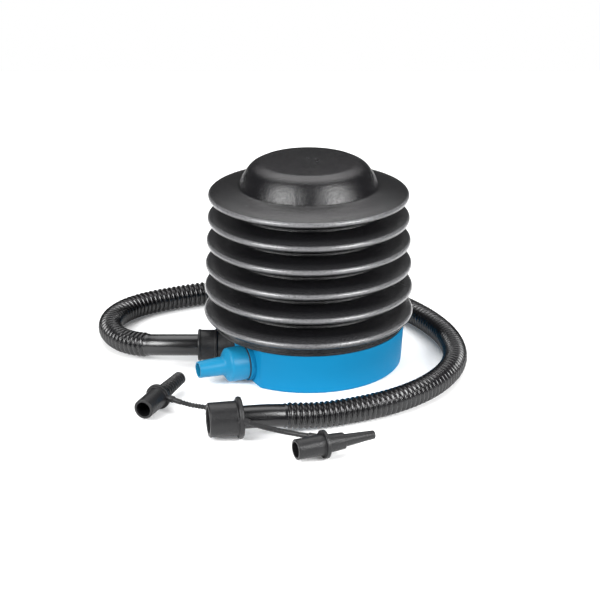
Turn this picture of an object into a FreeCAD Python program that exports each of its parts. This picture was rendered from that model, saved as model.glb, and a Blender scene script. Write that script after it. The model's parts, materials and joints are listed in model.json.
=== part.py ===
"""Foot-operated bellows air pump with a corrugated hose and three push-on tips.

A black blow-moulded bellows stands on a round blue base. Treading on the dome folds the
bellows and drives air through an exhaust flap, the inflate port and the hose. A spring
lifts the dome again and draws air in through the deflate port and the intake flap.

Frame: the origin lies on the bellows axis at the floor, +Z is up, and the hose leaves
the inflate port along -X. All lengths are in millimetres.
"""
import FreeCAD, Part

import math
import os

V = FreeCAD.Vector
UP = V(0, 0, 1)
ORIGIN = V(0, 0, 0)

# ---------------------------------------------------------------- driving dimensions
# Base tub
BASE_H = 27.5            # floor to the top of the deck
BASE_TOP_R = 66.0
BASE_FLARE = 1.7         # deck radius less foot radius
BASE_WALL = 2.4
DECK_T = 2.4
FACET_ANGLE = 207.0      # direction that the flat port face looks in
FACET_INSET = 11.6       # deck edge to the flat port face
CORNER_R = 6.0           # rounding where the flat face meets the round wall
FOOT_R = 1.8             # rounding of the lower edge
PLATE_T = 2.4
PLATE_GAP = 0.2

# Ports
PORT_Z = 13.3
DEFLATE_ANGLE = 203.0
DEFLATE_REACH = 2.3      # flat face to the middle of the deflate seam
DEFLATE_SIDE = 17.45     # middle of the flat face to the deflate seam, along the face
DEFLATE_BOSS_R = 12.6
DEFLATE_BORE_R = 8.4
COLLAR_R = 11.6
COLLAR_LEN = 15.8
SHOULDER_LEN = 2.2
SPIGOT_R = 5.6
SPIGOT_LEN = 18.2
SPIGOT_BORE_R = 4.2
PLUG_LEN = 8.0
PLUG_GAP = 0.1
INFLATE_Y = -11.5
INFLATE_REACH = 6.06     # flat face to the middle of the inflate seam
INFLATE_BOSS_R = 8.5
SLEEVE_R = 10.2
INFLATE_TUBE_R = 6.5
INFLATE_BORE_R = 4.5
INFLATE_TUBE_OUT = 11.0  # inflate seam to the tube's mouth
ORING_WIRE_R = 0.9
ORING_GAP = 0.05

# Hose coupling
COUPLING_R = 10.5
COUPLING_LEN = 13.7
COUPLING_GAP = 0.3       # end gap to the inflate seam
COUPLING_BEAD_R = 0.6
SLIDE_GAP = 0.08         # running clearance of a push-on joint

# Valves
VALVE_TUBE_R = 6.2
VALVE_BORE_R = 4.8
VALVE_FLANGE_R = 8.4
VALVE_FLANGE_T = 1.2
FLAP_R = 7.0
FLAP_T = 1.2
FLAP_LIFT = 0.25         # flap to seat at rest
HINGE_X = 9.4            # valve centre to the hinge pin
HINGE_Z = 2.1            # seat flange to the hinge pin
PIN_R = 0.8
PIN_GAP = 0.06
BARREL_R = 1.5
EAR_T = 1.4
EAR_INNER = 3.2
INTAKE_INSET = 22.0      # deflate seam to the intake valve, along the port
EXHAUST_INSET = 24.5     # inflate seam to the exhaust valve
DUCT_WALL = 1.5
DUCT_MARGIN = 0.3        # valve flange to duct wall
PORT_BORE_DEPTH = 16.0   # port seam to the end of the hole in a duct's front wall
FLAP_ROOM = 2.2          # hinge barrel to the exhaust duct's end wall

# Bellows
SEAT_RING_T = 1.5
SEAT_RING_INSET = 0.6    # deck edge to the seat ring
SEAT_RING_WIDTH = 16.4
NECK_INSET = 0.8         # deck edge to the bellows' neck
BELLOWS_WALL = 1.2
LIP_R = 2.3              # rounding of each fold lip
ROOT_R = 1.8             # rounding of each fold root
FOLD_DEPTH = 15.0
FOLDS = [                # height above the deck and reach past the neck of each fold lip
    (9.0, 6.6),
    (26.5, 6.1),
    (43.0, 5.3),
    (59.5, 4.4),
    (75.5, 3.4),
]
NECK_ROOT_H = 5.7        # deck to the root under the lowest fold
CLAMP_RING_T = 2.4
CLAMP_RING_INSET = 2.6   # bellows' neck to the clamp ring
CLAMP_RING_WIDTH = 9.6
RING_SCREW_INSET = 9.0   # deck edge to the ring screws
RING_SCREW_ANGLES = (0, 50, 100, 150, 258, 310)

# Tread dome
FLANGE_LIP_H = 91.5      # deck to the middle of the flange's lip
FLANGE_OUT = 2.8         # reach of the flange past the neck
FLANGE_LIP_ROUND = 2.0
FLANGE_WIDTH = 20.4      # crease to the flange's lip
CREASE_H = 6.0           # lip to crease
DOME_H = 23.5            # lip to the dome's top
DOME_SHOULDER = 17.6     # flat top to crease
DOME_WALL = 2.6
BELLOWS_TOP_BAND = 9.0   # width of the bellows' glued top band

# Return spring
SPRING_R = 23.6
SPRING_WIRE_R = 1.3
SPRING_TURNS = 8
SPRING_STEPS = 8         # route points in each turn
SPRING_END_GAP = 0.15
SPRING_GAP = 0.5
CUP_WALL = 2.0
CUP_FLOOR_T = 2.0
CUP_RIM_H = 8.0
CUP_HOLE_R = 9.0
TOP_SHELF_H = 4.0        # flange lip to the spring's upper seat

# Screws
BASE_SCREW_INSET = 11.8  # foot edge to the base screws
BASE_SCREW_ANGLES = (25, 125, 166, 285)
SCREW_R = 1.5
SCREW_HEAD_R = 2.9
SCREW_HEAD_T = 1.2
SCREW_LEN = 12.0
SCREW_GAP = 0.05
BOSS_R = 4.0
RING_BOSS_DEPTH = 6.0

# Hose
HOSE_R = 8.5
HOSE_BORE_R = 6.0
BARB_R = 6.4
BARB_LEN = 8.0
BARB_ROOT_LEN = 8.0
HOSE_LEAD = 21.5         # straight run out of the coupling
HOSE_FREE = [            # route from the end of the lead to the tip
    (-118.0, -3.5, 10.0),
    (-134.0, 11.0, 8.5),
    (-142.5, 32.0, 8.5),
    (-140.0, 54.5, 8.5),
    (-126.0, 75.0, 8.5),
    (-98.0, 91.5, 8.5),
    (-64.0, 105.0, 8.5),
    (-22.0, 112.0, 8.5),
    (22.0, 106.5, 8.5),
    (59.0, 84.5, 8.5),
    (84.0, 51.5, 8.5),
    (100.0, 12.0, 8.5),
    (101.5, -29.0, 8.5),
    (85.0, -66.0, 8.5),
    (57.0, -94.0, 8.5),
    (23.0, -110.5, 8.5),
    (4.5, -116.9, 9.0),
    (-12.0, -122.2, 11.3),
    (-28.0, -126.6, 13.5),
    (-42.5, -129.6, 13.5),
]

# Tip adapter on the hose end
TIP_FLANGE_R = 13.5
TIP_FLANGE_T = 3.0
TIP_BODY_R = 11.1
TIP_LEN = 21.5
TIP_BORE_R = 8.2
TIP_BORE_DEPTH = 10.0
TIP_WEB_T = 1.7
TIP_WEB_BORE_R = 4.0

# Small adapters
SMALL_FLANGE_T = 2.5
CONE_FACE = (-8.5, -167.3, 9.3)
CONE_ANGLE = 24.0
CONE_SOCKET_R = 6.5
CONE_SOCKET_LEN = 17.9
CONE_FLANGE_R = 9.0
CONE_STEP_R = (6.0, 5.25)
CONE_STEP_LEN = 12.0
CONE_TIP_R = (4.05, 2.75)
CONE_TIP_LEN = 21.0
CONE_AIR_R = 1.5
RIB_FACE = (-106.4, -107.8, 8.8)
RIB_ANGLE = 68.0
RIB_SOCKET_R = 6.6
RIB_SOCKET_LEN = 20.5
RIB_FLANGE_R = 8.5
RIB_STEM_R = (5.3, 4.4)
RIB_STEM_LEN = 32.5
RIB_PITCH = 2.5
RIB_DEPTH = 0.55
SOCKET_BORE_R = 4.9
SOCKET_BORE_DEPTH = 15.0
EDGE_R = 0.5

# Tethers between the tip adapter and the small adapters
TETHER_R = 1.7
LUG_R = 2.3
LUG_LEN = 4.0
LUG_SINK = 3.6           # how far a lug reaches into its flange
RIB_TETHER_ROUTE = [
    (-49.4, -115.2, 12.6),
    (-58.0, -110.4, 10.4),
    (-68.6, -103.4, 8.6),
    (-79.4, -97.6, 7.9),
    (-87.4, -92.6, 8.6),
]
CONE_TETHER_ROUTE = [
    (-36.6, -141.0, 14.8),
    (-28.6, -142.2, 12.6),
    (-18.6, -143.0, 10.6),
    (-8.4, -146.2, 9.9),
    (-0.9, -149.6, 10.2),
]

# ---------------------------------------------------------------- derived values
BASE_FOOT_R = BASE_TOP_R - BASE_FLARE
FACET_DIST = BASE_TOP_R - FACET_INSET
DECK_UNDER_Z = BASE_H - DECK_T
SEAT_TOP_Z = BASE_H + SEAT_RING_T
FLANGE_TOP_Z = SEAT_TOP_Z + BELLOWS_WALL
SEAT_RING_R = BASE_TOP_R - SEAT_RING_INSET
SEAT_RING_BORE_R = SEAT_RING_R - SEAT_RING_WIDTH
NECK_R = BASE_TOP_R - NECK_INSET
NECK_ROOT_Z = BASE_H + NECK_ROOT_H
LIPS = [(BASE_H + height, NECK_R + reach) for height, reach in FOLDS]
CLAMP_RING_R = NECK_R - CLAMP_RING_INSET
CLAMP_BORE_R = CLAMP_RING_R - CLAMP_RING_WIDTH
RING_SCREW_PCD_R = BASE_TOP_R - RING_SCREW_INSET
BASE_SCREW_PCD_R = BASE_FOOT_R - BASE_SCREW_INSET
FLANGE_LIP_Z = BASE_H + FLANGE_LIP_H
FLANGE_LIP_R = NECK_R + FLANGE_OUT
CREASE_R = FLANGE_LIP_R - FLANGE_WIDTH
CREASE_Z = FLANGE_LIP_Z + CREASE_H
DOME_TOP_Z = FLANGE_LIP_Z + DOME_H
DOME_FLAT_R = CREASE_R - DOME_SHOULDER
DOME_UNDER_Z = FLANGE_LIP_Z - FLANGE_LIP_ROUND
TOP_SHELF_Z = FLANGE_LIP_Z + TOP_SHELF_H
SPRING_SEAT_Z = BASE_H + CUP_FLOOR_T
CUP_BORE_R = SPRING_R + SPRING_WIRE_R + SPRING_GAP
CUP_R = CUP_BORE_R + CUP_WALL
FACET_NORMAL = V(math.cos(math.radians(FACET_ANGLE)), math.sin(math.radians(FACET_ANGLE)), 0)
DEFLATE_OUT = V(math.cos(math.radians(DEFLATE_ANGLE)), math.sin(math.radians(DEFLATE_ANGLE)), 0)
FACET_SIDE = V(-FACET_NORMAL.y, FACET_NORMAL.x, 0)
DEFLATE_ORIGIN = FACET_NORMAL * (FACET_DIST + DEFLATE_REACH) + FACET_SIDE * DEFLATE_SIDE + V(0, 0, PORT_Z)
INFLATE_OUT = V(-1, 0, 0)
INFLATE_SEAM_X = (FACET_DIST + INFLATE_REACH - INFLATE_Y * FACET_NORMAL.y) / FACET_NORMAL.x
INFLATE_ORIGIN = V(INFLATE_SEAM_X, INFLATE_Y, PORT_Z)
INFLATE_TUBE_END_X = INFLATE_SEAM_X - INFLATE_TUBE_OUT
COUPLING_FACE_X = INFLATE_SEAM_X - COUPLING_GAP - COUPLING_LEN
EXHAUST_X = INFLATE_SEAM_X + EXHAUST_INSET
HOSE_ROUTE = [
    (COUPLING_FACE_X, INFLATE_Y, PORT_Z),
    (COUPLING_FACE_X - HOSE_LEAD, INFLATE_Y, PORT_Z),
] + HOSE_FREE
INTAKE_CENTRE = DEFLATE_ORIGIN - DEFLATE_OUT * INTAKE_INSET
EXHAUST_CENTRE = V(EXHAUST_X, INFLATE_Y, 0)
TIP_ORIGIN = V(*HOSE_ROUTE[-1])
TIP_OUT = (TIP_ORIGIN - V(*HOSE_ROUTE[-2])).normalize()


# ---------------------------------------------------------------- shape helpers
def vec(point):
    return V(*point)


def cylinder(radius, length, base=ORIGIN, axis=UP):
    return Part.makeCylinder(radius, length, base, axis)


def ring(outer, inner, z0, z1):
    return cylinder(outer, z1 - z0, V(0, 0, z0)).cut(cylinder(inner, z1 - z0 + 2, V(0, 0, z0 - 1)))


def polar(radius, degrees, z=0.0):
    a = math.radians(degrees)
    return V(radius * math.cos(a), radius * math.sin(a), z)


def point_rz(r, z):
    return V(r, 0, z)


def revolve(edges):
    """Turn a closed outline in the XZ plane about the Z axis into a solid."""
    face = Part.Face(Part.Wire(Part.__sortEdges__(edges)))
    solid = face.revolve(ORIGIN, UP, 360)
    return solid


def polyline(points):
    """Edges of a closed outline through (r, z) points."""
    pts = [point_rz(*p) for p in points]
    return [Part.makeLine(a, b) for a, b in zip(pts, pts[1:] + pts[:1])]


def revolve_points(points):
    return revolve(polyline(points))


def aim(shape, base, axis):
    """Move a shape modelled along +Z so that its Z axis starts at base and runs along axis."""
    moved = shape.copy()
    moved.Placement = FreeCAD.Placement(base, FreeCAD.Rotation(UP, axis))
    return moved


def rounded(points):
    """Closed outline through (r, z, rounding) points, each rounding a tangent arc."""
    n = len(points)
    starts = []
    for i, (r, z, fillet) in enumerate(points):
        here = point_rz(r, z)
        if not fillet:
            starts.append((here, here, None))
            continue
        back = (point_rz(*points[i - 1][:2]) - here).normalize()
        ahead = (point_rz(*points[(i + 1) % n][:2]) - here).normalize()
        half = back.getAngle(ahead) / 2
        reach = fillet / math.tan(half)
        middle = (back + ahead).normalize()
        tip = here + middle * (fillet / math.sin(half) - fillet)
        starts.append((here + back * reach, here + ahead * reach, tip))
    edges = []
    for i, (first, last, tip) in enumerate(starts):
        if tip is not None:
            edges.append(Part.Arc(first, tip, last).toShape())
        following = starts[(i + 1) % n][0]
        if (following - last).Length > 1e-6:
            edges.append(Part.makeLine(last, following))
    return edges


def swept(route, radius, bore=0.0):
    """Round tube along straight runs joined by tangent arcs; returns shape, length, radii."""
    pts = [vec(p) for p in route]
    edges = []
    radii = []
    start = pts[0]
    for before, here, after in zip(pts, pts[1:], pts[2:]):
        back = before - here
        ahead = after - here
        run = min(back.Length, ahead.Length)
        back.normalize()
        ahead.normalize()
        half = back.getAngle(ahead) / 2
        reach = 0.45 * run
        bend = reach * math.tan(half)
        middle = (back + ahead).normalize()
        tip = here + middle * (bend / math.sin(half) - bend)
        first = here + back * reach
        last = here + ahead * reach
        edges.append(Part.LineSegment(start, first).toShape())
        edges.append(Part.Arc(first, tip, last).toShape())
        radii.append(bend)
        start = last
    edges.append(Part.LineSegment(start, pts[-1]).toShape())
    path = Part.Wire(edges)
    section = Part.Wire(Part.makeCircle(radius, pts[0], pts[1] - pts[0]))
    tube = path.makePipeShell([section], True, True)
    if bore:
        inner = Part.Wire(Part.makeCircle(bore, pts[0], pts[1] - pts[0]))
        tube = tube.cut(path.makePipeShell([inner], True, True))
    return tube, path.Length, radii


def half_space_cut(shape, normal, distance):
    """Remove everything beyond the vertical plane at distance along normal."""
    block = Part.makeBox(400, 400, 400, V(-200, -200, 0))
    return shape.cut(aim(block, normal * distance, normal))


# ---------------------------------------------------------------- base
def wall_radius(z):
    return BASE_FOOT_R + (BASE_TOP_R - BASE_FOOT_R) * z / BASE_H


def tub_body(inset, z0, z1):
    """Round, slightly flared body with the flat port face, inset all round."""
    cone = Part.makeCone(wall_radius(z0) - inset, wall_radius(z1) - inset, z1 - z0, V(0, 0, z0))
    body = half_space_cut(cone, FACET_NORMAL, FACET_DIST - inset)
    corners = []
    for edge in body.Edges:
        ends = [v.Point for v in edge.Vertexes]
        if len(ends) == 2 and abs(ends[0].z - ends[1].z) > (z1 - z0) * 0.9:
            if all(abs(p.dot(FACET_NORMAL) - FACET_DIST + inset) < 1e-3 for p in ends):
                corners.append(edge)
    return body.makeFillet(max(CORNER_R - inset, 0.5), corners)


def base_shell():
    outer = tub_body(0, 0, BASE_H)
    foot = [e for e in outer.Edges if e.BoundBox.ZMax < 1e-3]
    outer = outer.makeFillet(FOOT_R, foot)
    boss = cylinder(DEFLATE_BOSS_R, 12, DEFLATE_ORIGIN - DEFLATE_OUT * 12, DEFLATE_OUT)
    outer = outer.fuse(boss)
    stub = cylinder(INFLATE_BOSS_R, 16, INFLATE_ORIGIN - INFLATE_OUT * 16, INFLATE_OUT)
    outer = outer.fuse(stub)
    shell = outer.cut(tub_body(BASE_WALL, 0, DECK_UNDER_Z))
    for degrees in BASE_SCREW_ANGLES:
        foot_z = PLATE_T
        post = cylinder(BOSS_R, DECK_UNDER_Z - foot_z, polar(BASE_SCREW_PCD_R, degrees, foot_z))
        shell = shell.fuse(post)
    for degrees in RING_SCREW_ANGLES:
        low = DECK_UNDER_Z - RING_BOSS_DEPTH
        shell = shell.fuse(cylinder(BOSS_R - 0.6, RING_BOSS_DEPTH, polar(RING_SCREW_PCD_R, degrees, low)))
    shell = shell.removeSplitter()
    for degrees in BASE_SCREW_ANGLES:
        hole = cylinder(SCREW_R + SCREW_GAP, SCREW_LEN + 1, polar(BASE_SCREW_PCD_R, degrees, PLATE_T - 1))
        shell = shell.cut(hole)
    for degrees in RING_SCREW_ANGLES:
        low = DECK_UNDER_Z - RING_BOSS_DEPTH
        depth = RING_BOSS_DEPTH + DECK_T + 1
        hole = cylinder(SCREW_R + SCREW_GAP, depth, polar(RING_SCREW_PCD_R, degrees, low - 0.5))
        shell = shell.cut(hole)
    bore = cylinder(DEFLATE_BORE_R, 30, DEFLATE_ORIGIN + DEFLATE_OUT * 5, DEFLATE_OUT * -1)
    shell = shell.cut(bore)
    tube_hole = cylinder(INFLATE_TUBE_R + PLUG_GAP, 30, INFLATE_ORIGIN + INFLATE_OUT * 5, INFLATE_OUT * -1)
    shell = shell.cut(tube_hole)
    for centre in (INTAKE_CENTRE, EXHAUST_CENTRE):
        shell = shell.cut(cylinder(VALVE_TUBE_R + PLUG_GAP, DECK_T + 2, V(centre.x, centre.y, DECK_UNDER_Z - 1)))
    return shell


def base_plate():
    plate = tub_body(BASE_WALL + PLATE_GAP, 0, PLATE_T)
    for degrees in BASE_SCREW_ANGLES:
        plate = plate.cut(cylinder(SCREW_R + 0.3, PLATE_T + 2, polar(BASE_SCREW_PCD_R, degrees, -1)))
        recess = cylinder(SCREW_HEAD_R + 0.3, SCREW_HEAD_T + 1.2, polar(BASE_SCREW_PCD_R, degrees, -1))
        plate = plate.cut(recess)
    return plate


def screw(base, up):
    """Pan-head screw, its head under the origin and its shank along +Z."""
    shank = cylinder(SCREW_R, SCREW_LEN - 0.8).fuse(
        Part.makeCone(SCREW_R, 0.4, 0.8, V(0, 0, SCREW_LEN - 0.8))
    )
    head = cylinder(SCREW_HEAD_R, SCREW_HEAD_T, V(0, 0, -SCREW_HEAD_T))
    slot = Part.makeBox(0.7, 3.6, 1.4, V(-0.35, -1.8, -SCREW_HEAD_T - 0.7))
    cross = Part.makeBox(3.6, 0.7, 1.4, V(-1.8, -0.35, -SCREW_HEAD_T - 0.7))
    return aim(shank.fuse(head).cut(slot.fuse(cross)).removeSplitter(), base, up)


def base_screws():
    head_z = SCREW_HEAD_T + 0.2
    return Part.makeCompound([screw(polar(BASE_SCREW_PCD_R, a, head_z), UP) for a in BASE_SCREW_ANGLES])


def ring_screws():
    seats = [polar(RING_SCREW_PCD_R, a, FLANGE_TOP_Z + CLAMP_RING_T) for a in RING_SCREW_ANGLES]
    return Part.makeCompound([screw(p, UP * -1) for p in seats])


# ---------------------------------------------------------------- air ducts
def duct(start, outward, inner_reach, inner_half, bore_r):
    """Box channel under the deck, from the port wall to inner_reach past the port's seam."""
    inward = outward * -1
    side = V(0, 0, 1).cross(inward)

    def block(half, z0, z1, far, inset):
        box = Part.makeBox(far + 30, 2 * half, z1 - z0, V(-30, -half, z0))
        box.Placement = FreeCAD.Placement(V(start.x, start.y, 0), FreeCAD.Rotation(inward, side, UP))
        return box.common(tub_body(BASE_WALL + inset, 0, DECK_UNDER_Z))

    far = inner_reach + DUCT_WALL
    outer = block(inner_half + DUCT_WALL, PLATE_T, DECK_UNDER_Z, far, PLATE_GAP)
    inner = block(inner_half, PLATE_T + DUCT_WALL, DECK_UNDER_Z, inner_reach, PLATE_GAP + DUCT_WALL)
    return outer.cut(inner).cut(cylinder(bore_r, PORT_BORE_DEPTH, start, inward))


def intake_duct():
    reach = INTAKE_INSET + VALVE_TUBE_R + 2 * DUCT_MARGIN
    return duct(DEFLATE_ORIGIN, DEFLATE_OUT, reach, DEFLATE_BORE_R, DEFLATE_BORE_R)


def exhaust_duct():
    reach = EXHAUST_X - INFLATE_SEAM_X + HINGE_X + BARREL_R + FLAP_ROOM
    half = VALVE_FLANGE_R + DUCT_MARGIN
    return duct(INFLATE_ORIGIN, INFLATE_OUT, reach, half, INFLATE_TUBE_R + PLUG_GAP)


# ---------------------------------------------------------------- valves
def valve_placement(kind):
    """Frame of a valve: z away from its seat, x from the seat's centre to its hinge."""
    if kind == "intake":
        outward = V(INTAKE_CENTRE.x, INTAKE_CENTRE.y, 0).normalize()
        hinge = UP.cross(outward)
        rotation = FreeCAD.Rotation(hinge, UP.cross(hinge), UP)
        return FreeCAD.Placement(V(INTAKE_CENTRE.x, INTAKE_CENTRE.y, BASE_H), rotation)
    rotation = FreeCAD.Rotation(V(1, 0, 0), V(0, -1, 0), UP * -1)
    return FreeCAD.Placement(V(EXHAUST_CENTRE.x, EXHAUST_CENTRE.y, DECK_UNDER_Z), rotation)


def placed(shape, kind):
    moved = shape.copy()
    moved.Placement = valve_placement(kind)
    return moved


def valve_seat(kind):
    seat = cylinder(VALVE_FLANGE_R, VALVE_FLANGE_T)
    seat = seat.fuse(Part.makeBox(HINGE_X + 2.2 - 4, 2 * (EAR_INNER + EAR_T), VALVE_FLANGE_T,
                                  V(4, -EAR_INNER - EAR_T, 0)))
    seat = seat.fuse(cylinder(VALVE_TUBE_R, DECK_T, V(0, 0, -DECK_T)))
    for sign in (-1, 1):
        low = EAR_INNER if sign > 0 else -EAR_INNER - EAR_T
        height = HINGE_Z + PIN_R + 1.0
        ear = Part.makeBox(4.0, EAR_T, height, V(HINGE_X - 2.0, low, VALVE_FLANGE_T - 0.01))
        seat = seat.fuse(ear)
    seat = seat.cut(cylinder(VALVE_BORE_R, 10, V(0, 0, -5)))
    bar = Part.makeBox(2 * VALVE_BORE_R + 1, 1.2, 1.6, V(-VALVE_BORE_R - 0.5, -0.6, -0.6))
    cross = Part.makeBox(1.2, 2 * VALVE_BORE_R + 1, 1.6, V(-0.6, -VALVE_BORE_R - 0.5, -0.6))
    seat = seat.fuse(bar).fuse(cross)
    pin_z = VALVE_FLANGE_T + HINGE_Z
    hole = cylinder(PIN_R + PIN_GAP, 14, V(HINGE_X, -7, pin_z), V(0, 1, 0))
    return placed(seat.cut(hole).removeSplitter(), kind)


def valve_flap(kind):
    z0 = VALVE_FLANGE_T + FLAP_LIFT
    pin_z = VALVE_FLANGE_T + HINGE_Z
    half = EAR_INNER - 0.4
    disc = cylinder(FLAP_R, FLAP_T, V(0, 0, z0))
    web = Part.makeBox(HINGE_X - 4, 2 * half, FLAP_T, V(4, -half, z0 + 0.1))
    barrel = cylinder(BARREL_R, 2 * half, V(HINGE_X, -half, pin_z), V(0, 1, 0))
    flap = disc.fuse(web).fuse(barrel)
    hole = cylinder(PIN_R + PIN_GAP, 14, V(HINGE_X, -7, pin_z), V(0, 1, 0))
    return placed(flap.cut(hole).removeSplitter(), kind)


def valve_pin(kind):
    half = EAR_INNER + EAR_T
    pin = cylinder(PIN_R, 2 * half, V(HINGE_X, -half, VALVE_FLANGE_T + HINGE_Z), V(0, 1, 0))
    return placed(pin, kind)


# ---------------------------------------------------------------- ports
def deflate_nozzle():
    collar_end = COLLAR_LEN
    tip = COLLAR_LEN + SPIGOT_LEN
    plug_r = DEFLATE_BORE_R - PLUG_GAP
    groove = -PLUG_LEN / 2
    deep = DEFLATE_BORE_R - 2 * ORING_WIRE_R - 2 * ORING_GAP
    half = ORING_WIRE_R + 0.1
    outline = [
        (SPIGOT_BORE_R, -PLUG_LEN, 0), (plug_r, -PLUG_LEN, EDGE_R),
        (plug_r, groove - half, 0), (deep, groove - half, 0),
        (deep, groove + half, 0), (plug_r, groove + half, 0),
        (plug_r, 0, 0), (COLLAR_R, 0, 0.3),
        (COLLAR_R, collar_end - SHOULDER_LEN, 1.4),
        (SPIGOT_R + 0.6, collar_end, 0.8), (SPIGOT_R, collar_end + 1.2, 0),
        (SPIGOT_R, tip, 0.4), (SPIGOT_BORE_R, tip, 0.3),
    ]
    return aim(revolve(rounded(outline)), DEFLATE_ORIGIN, DEFLATE_OUT)


def oring(radius, base, axis):
    torus = Part.makeTorus(radius, ORING_WIRE_R)
    return aim(torus, base, axis)


def deflate_oring():
    centre = DEFLATE_ORIGIN - DEFLATE_OUT * (PLUG_LEN / 2)
    radius = DEFLATE_BORE_R - ORING_WIRE_R - ORING_GAP
    return oring(radius, centre, DEFLATE_OUT)


def inflate_nozzle():
    start = EXHAUST_X - VALVE_FLANGE_R - 1.5
    base = V(start, INFLATE_Y, PORT_Z)
    length = start - INFLATE_TUBE_END_X
    outline = [
        (INFLATE_BORE_R, 0, 0), (INFLATE_TUBE_R, 0, 0.3),
        (INFLATE_TUBE_R, length, 0.6), (INFLATE_BORE_R, length, 0.3),
    ]
    return aim(revolve(rounded(outline)), base, INFLATE_OUT)


def port_sleeve():
    inner = INFLATE_BOSS_R + PLUG_GAP
    tube = cylinder(SLEEVE_R, 30, INFLATE_ORIGIN, INFLATE_OUT * -1)
    tube = tube.cut(cylinder(inner, 40, INFLATE_ORIGIN + INFLATE_OUT * 5, INFLATE_OUT * -1))
    zone = Part.makeBox(200, 400, 100, V(0, -200, -50))
    zone = aim_x(zone, FACET_NORMAL * (FACET_DIST + PLUG_GAP), FACET_NORMAL)
    return tube.common(zone)


def aim_x(shape, base, axis):
    """Move a shape so that its X axis starts at base and runs along axis."""
    moved = shape.copy()
    moved.Placement = FreeCAD.Placement(base, FreeCAD.Rotation(V(1, 0, 0), axis))
    return moved


# ---------------------------------------------------------------- hose coupling
def coupling_stations():
    bore_len = COUPLING_LEN - 2.5
    return bore_len, bore_len / 2


def hose_coupling():
    bore_len, seal = coupling_stations()
    length = COUPLING_LEN
    bore = INFLATE_TUBE_R + SLIDE_GAP
    half = ORING_WIRE_R + 0.15
    groove = bore + 2 * ORING_WIRE_R + 2 * ORING_GAP
    bead = COUPLING_R + COUPLING_BEAD_R
    outline = [
        (bore, 0, 0), (bead, 0, 0.4), (bead, 1.6, 0.3), (COUPLING_R, 2.0, 0),
        (COUPLING_R, length - 2.0, 0), (bead, length - 1.6, 0.3), (bead, length, 0.4),
        (INFLATE_BORE_R, length, 0), (INFLATE_BORE_R, bore_len, 0), (bore, bore_len, 0),
        (bore, seal + half, 0), (groove, seal + half, 0), (groove, seal - half, 0), (bore, seal - half, 0),
    ]
    base = INFLATE_ORIGIN + INFLATE_OUT * COUPLING_GAP
    return aim(revolve(rounded(outline)), base, INFLATE_OUT)


def coupling_seal():
    bore_len, seal = coupling_stations()
    centre = INFLATE_ORIGIN + INFLATE_OUT * (COUPLING_GAP + seal)
    radius = INFLATE_TUBE_R + SLIDE_GAP + ORING_WIRE_R + ORING_GAP
    return oring(radius, centre, INFLATE_OUT)


# ---------------------------------------------------------------- bellows
def fold_wall(lip, root, lip_r, root_r):
    """Line touching a lip circle on one side and a root circle on the other."""
    across = root - lip
    tilt = math.asin((lip_r + root_r) / across.Length)
    direction = V(across).normalize()
    # the wall leaves the lip on the side that faces the root
    below = root.z < lip.z
    turn = tilt if below else -tilt
    spin = FreeCAD.Rotation(V(0, 1, 0), math.degrees(turn))
    along = spin.multVec(direction)
    normal = V(along.z, 0, -along.x) if below else V(-along.z, 0, along.x)
    if (root - lip).dot(normal) < 0:
        normal = normal * -1
    return lip + normal * lip_r, root - normal * root_r


def bellows_side(offset):
    """Side of the bellows at a wall offset: joined edges from the neck to the top fold."""
    lip_r = LIP_R - offset
    root_r = ROOT_R + offset
    neck_r = NECK_R + ROOT_R
    lips = [point_rz(r - LIP_R, z) for z, r in LIPS]
    roots = [point_rz(neck_r, NECK_ROOT_Z)]
    tops = LIPS[1:] + [(FLANGE_LIP_Z, FLANGE_LIP_R)]
    for (z0, r0), (z1, r1) in zip(LIPS, tops):
        roots.append(point_rz((r0 + r1) / 2 - FOLD_DEPTH + ROOT_R, (z0 + z1) / 2))
    edges = []
    neck = point_rz(NECK_R - offset, NECK_ROOT_Z)
    last = neck
    for i, lip in enumerate(lips):
        on_lip, on_root = fold_wall(lip, roots[i], lip_r, root_r)
        inner_mid = roots[i] + point_rz(-root_r, 0)
        if i == 0:
            mid = arc_middle(roots[i], root_r, last, on_root)
            edges.append(Part.Arc(last, mid, on_root).toShape())
        else:
            edges.append(Part.Arc(last, inner_mid, on_root).toShape())
        edges.append(Part.makeLine(on_root, on_lip))
        up_lip, up_root = fold_wall(lip, roots[i + 1], lip_r, root_r)
        edges.append(Part.Arc(on_lip, lip + point_rz(lip_r, 0), up_lip).toShape())
        edges.append(Part.makeLine(up_lip, up_root))
        last = up_root
    top_lip = point_rz(FLANGE_LIP_R - LIP_R, FLANGE_LIP_Z)
    on_lip, on_root = fold_wall(top_lip, roots[-1], lip_r, root_r)
    edges.append(Part.Arc(last, roots[-1] + point_rz(-root_r, 0), on_root).toShape())
    return neck, edges, on_root, on_lip


def arc_middle(centre, radius, first, last):
    middle = ((first - centre).normalize() + (last - centre).normalize()).normalize()
    return centre + middle * radius


def at_height(a, b, z):
    """Point at height z on the line through a and b."""
    share = (z - a.z) / (b.z - a.z)
    return a + (b - a) * share


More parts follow.
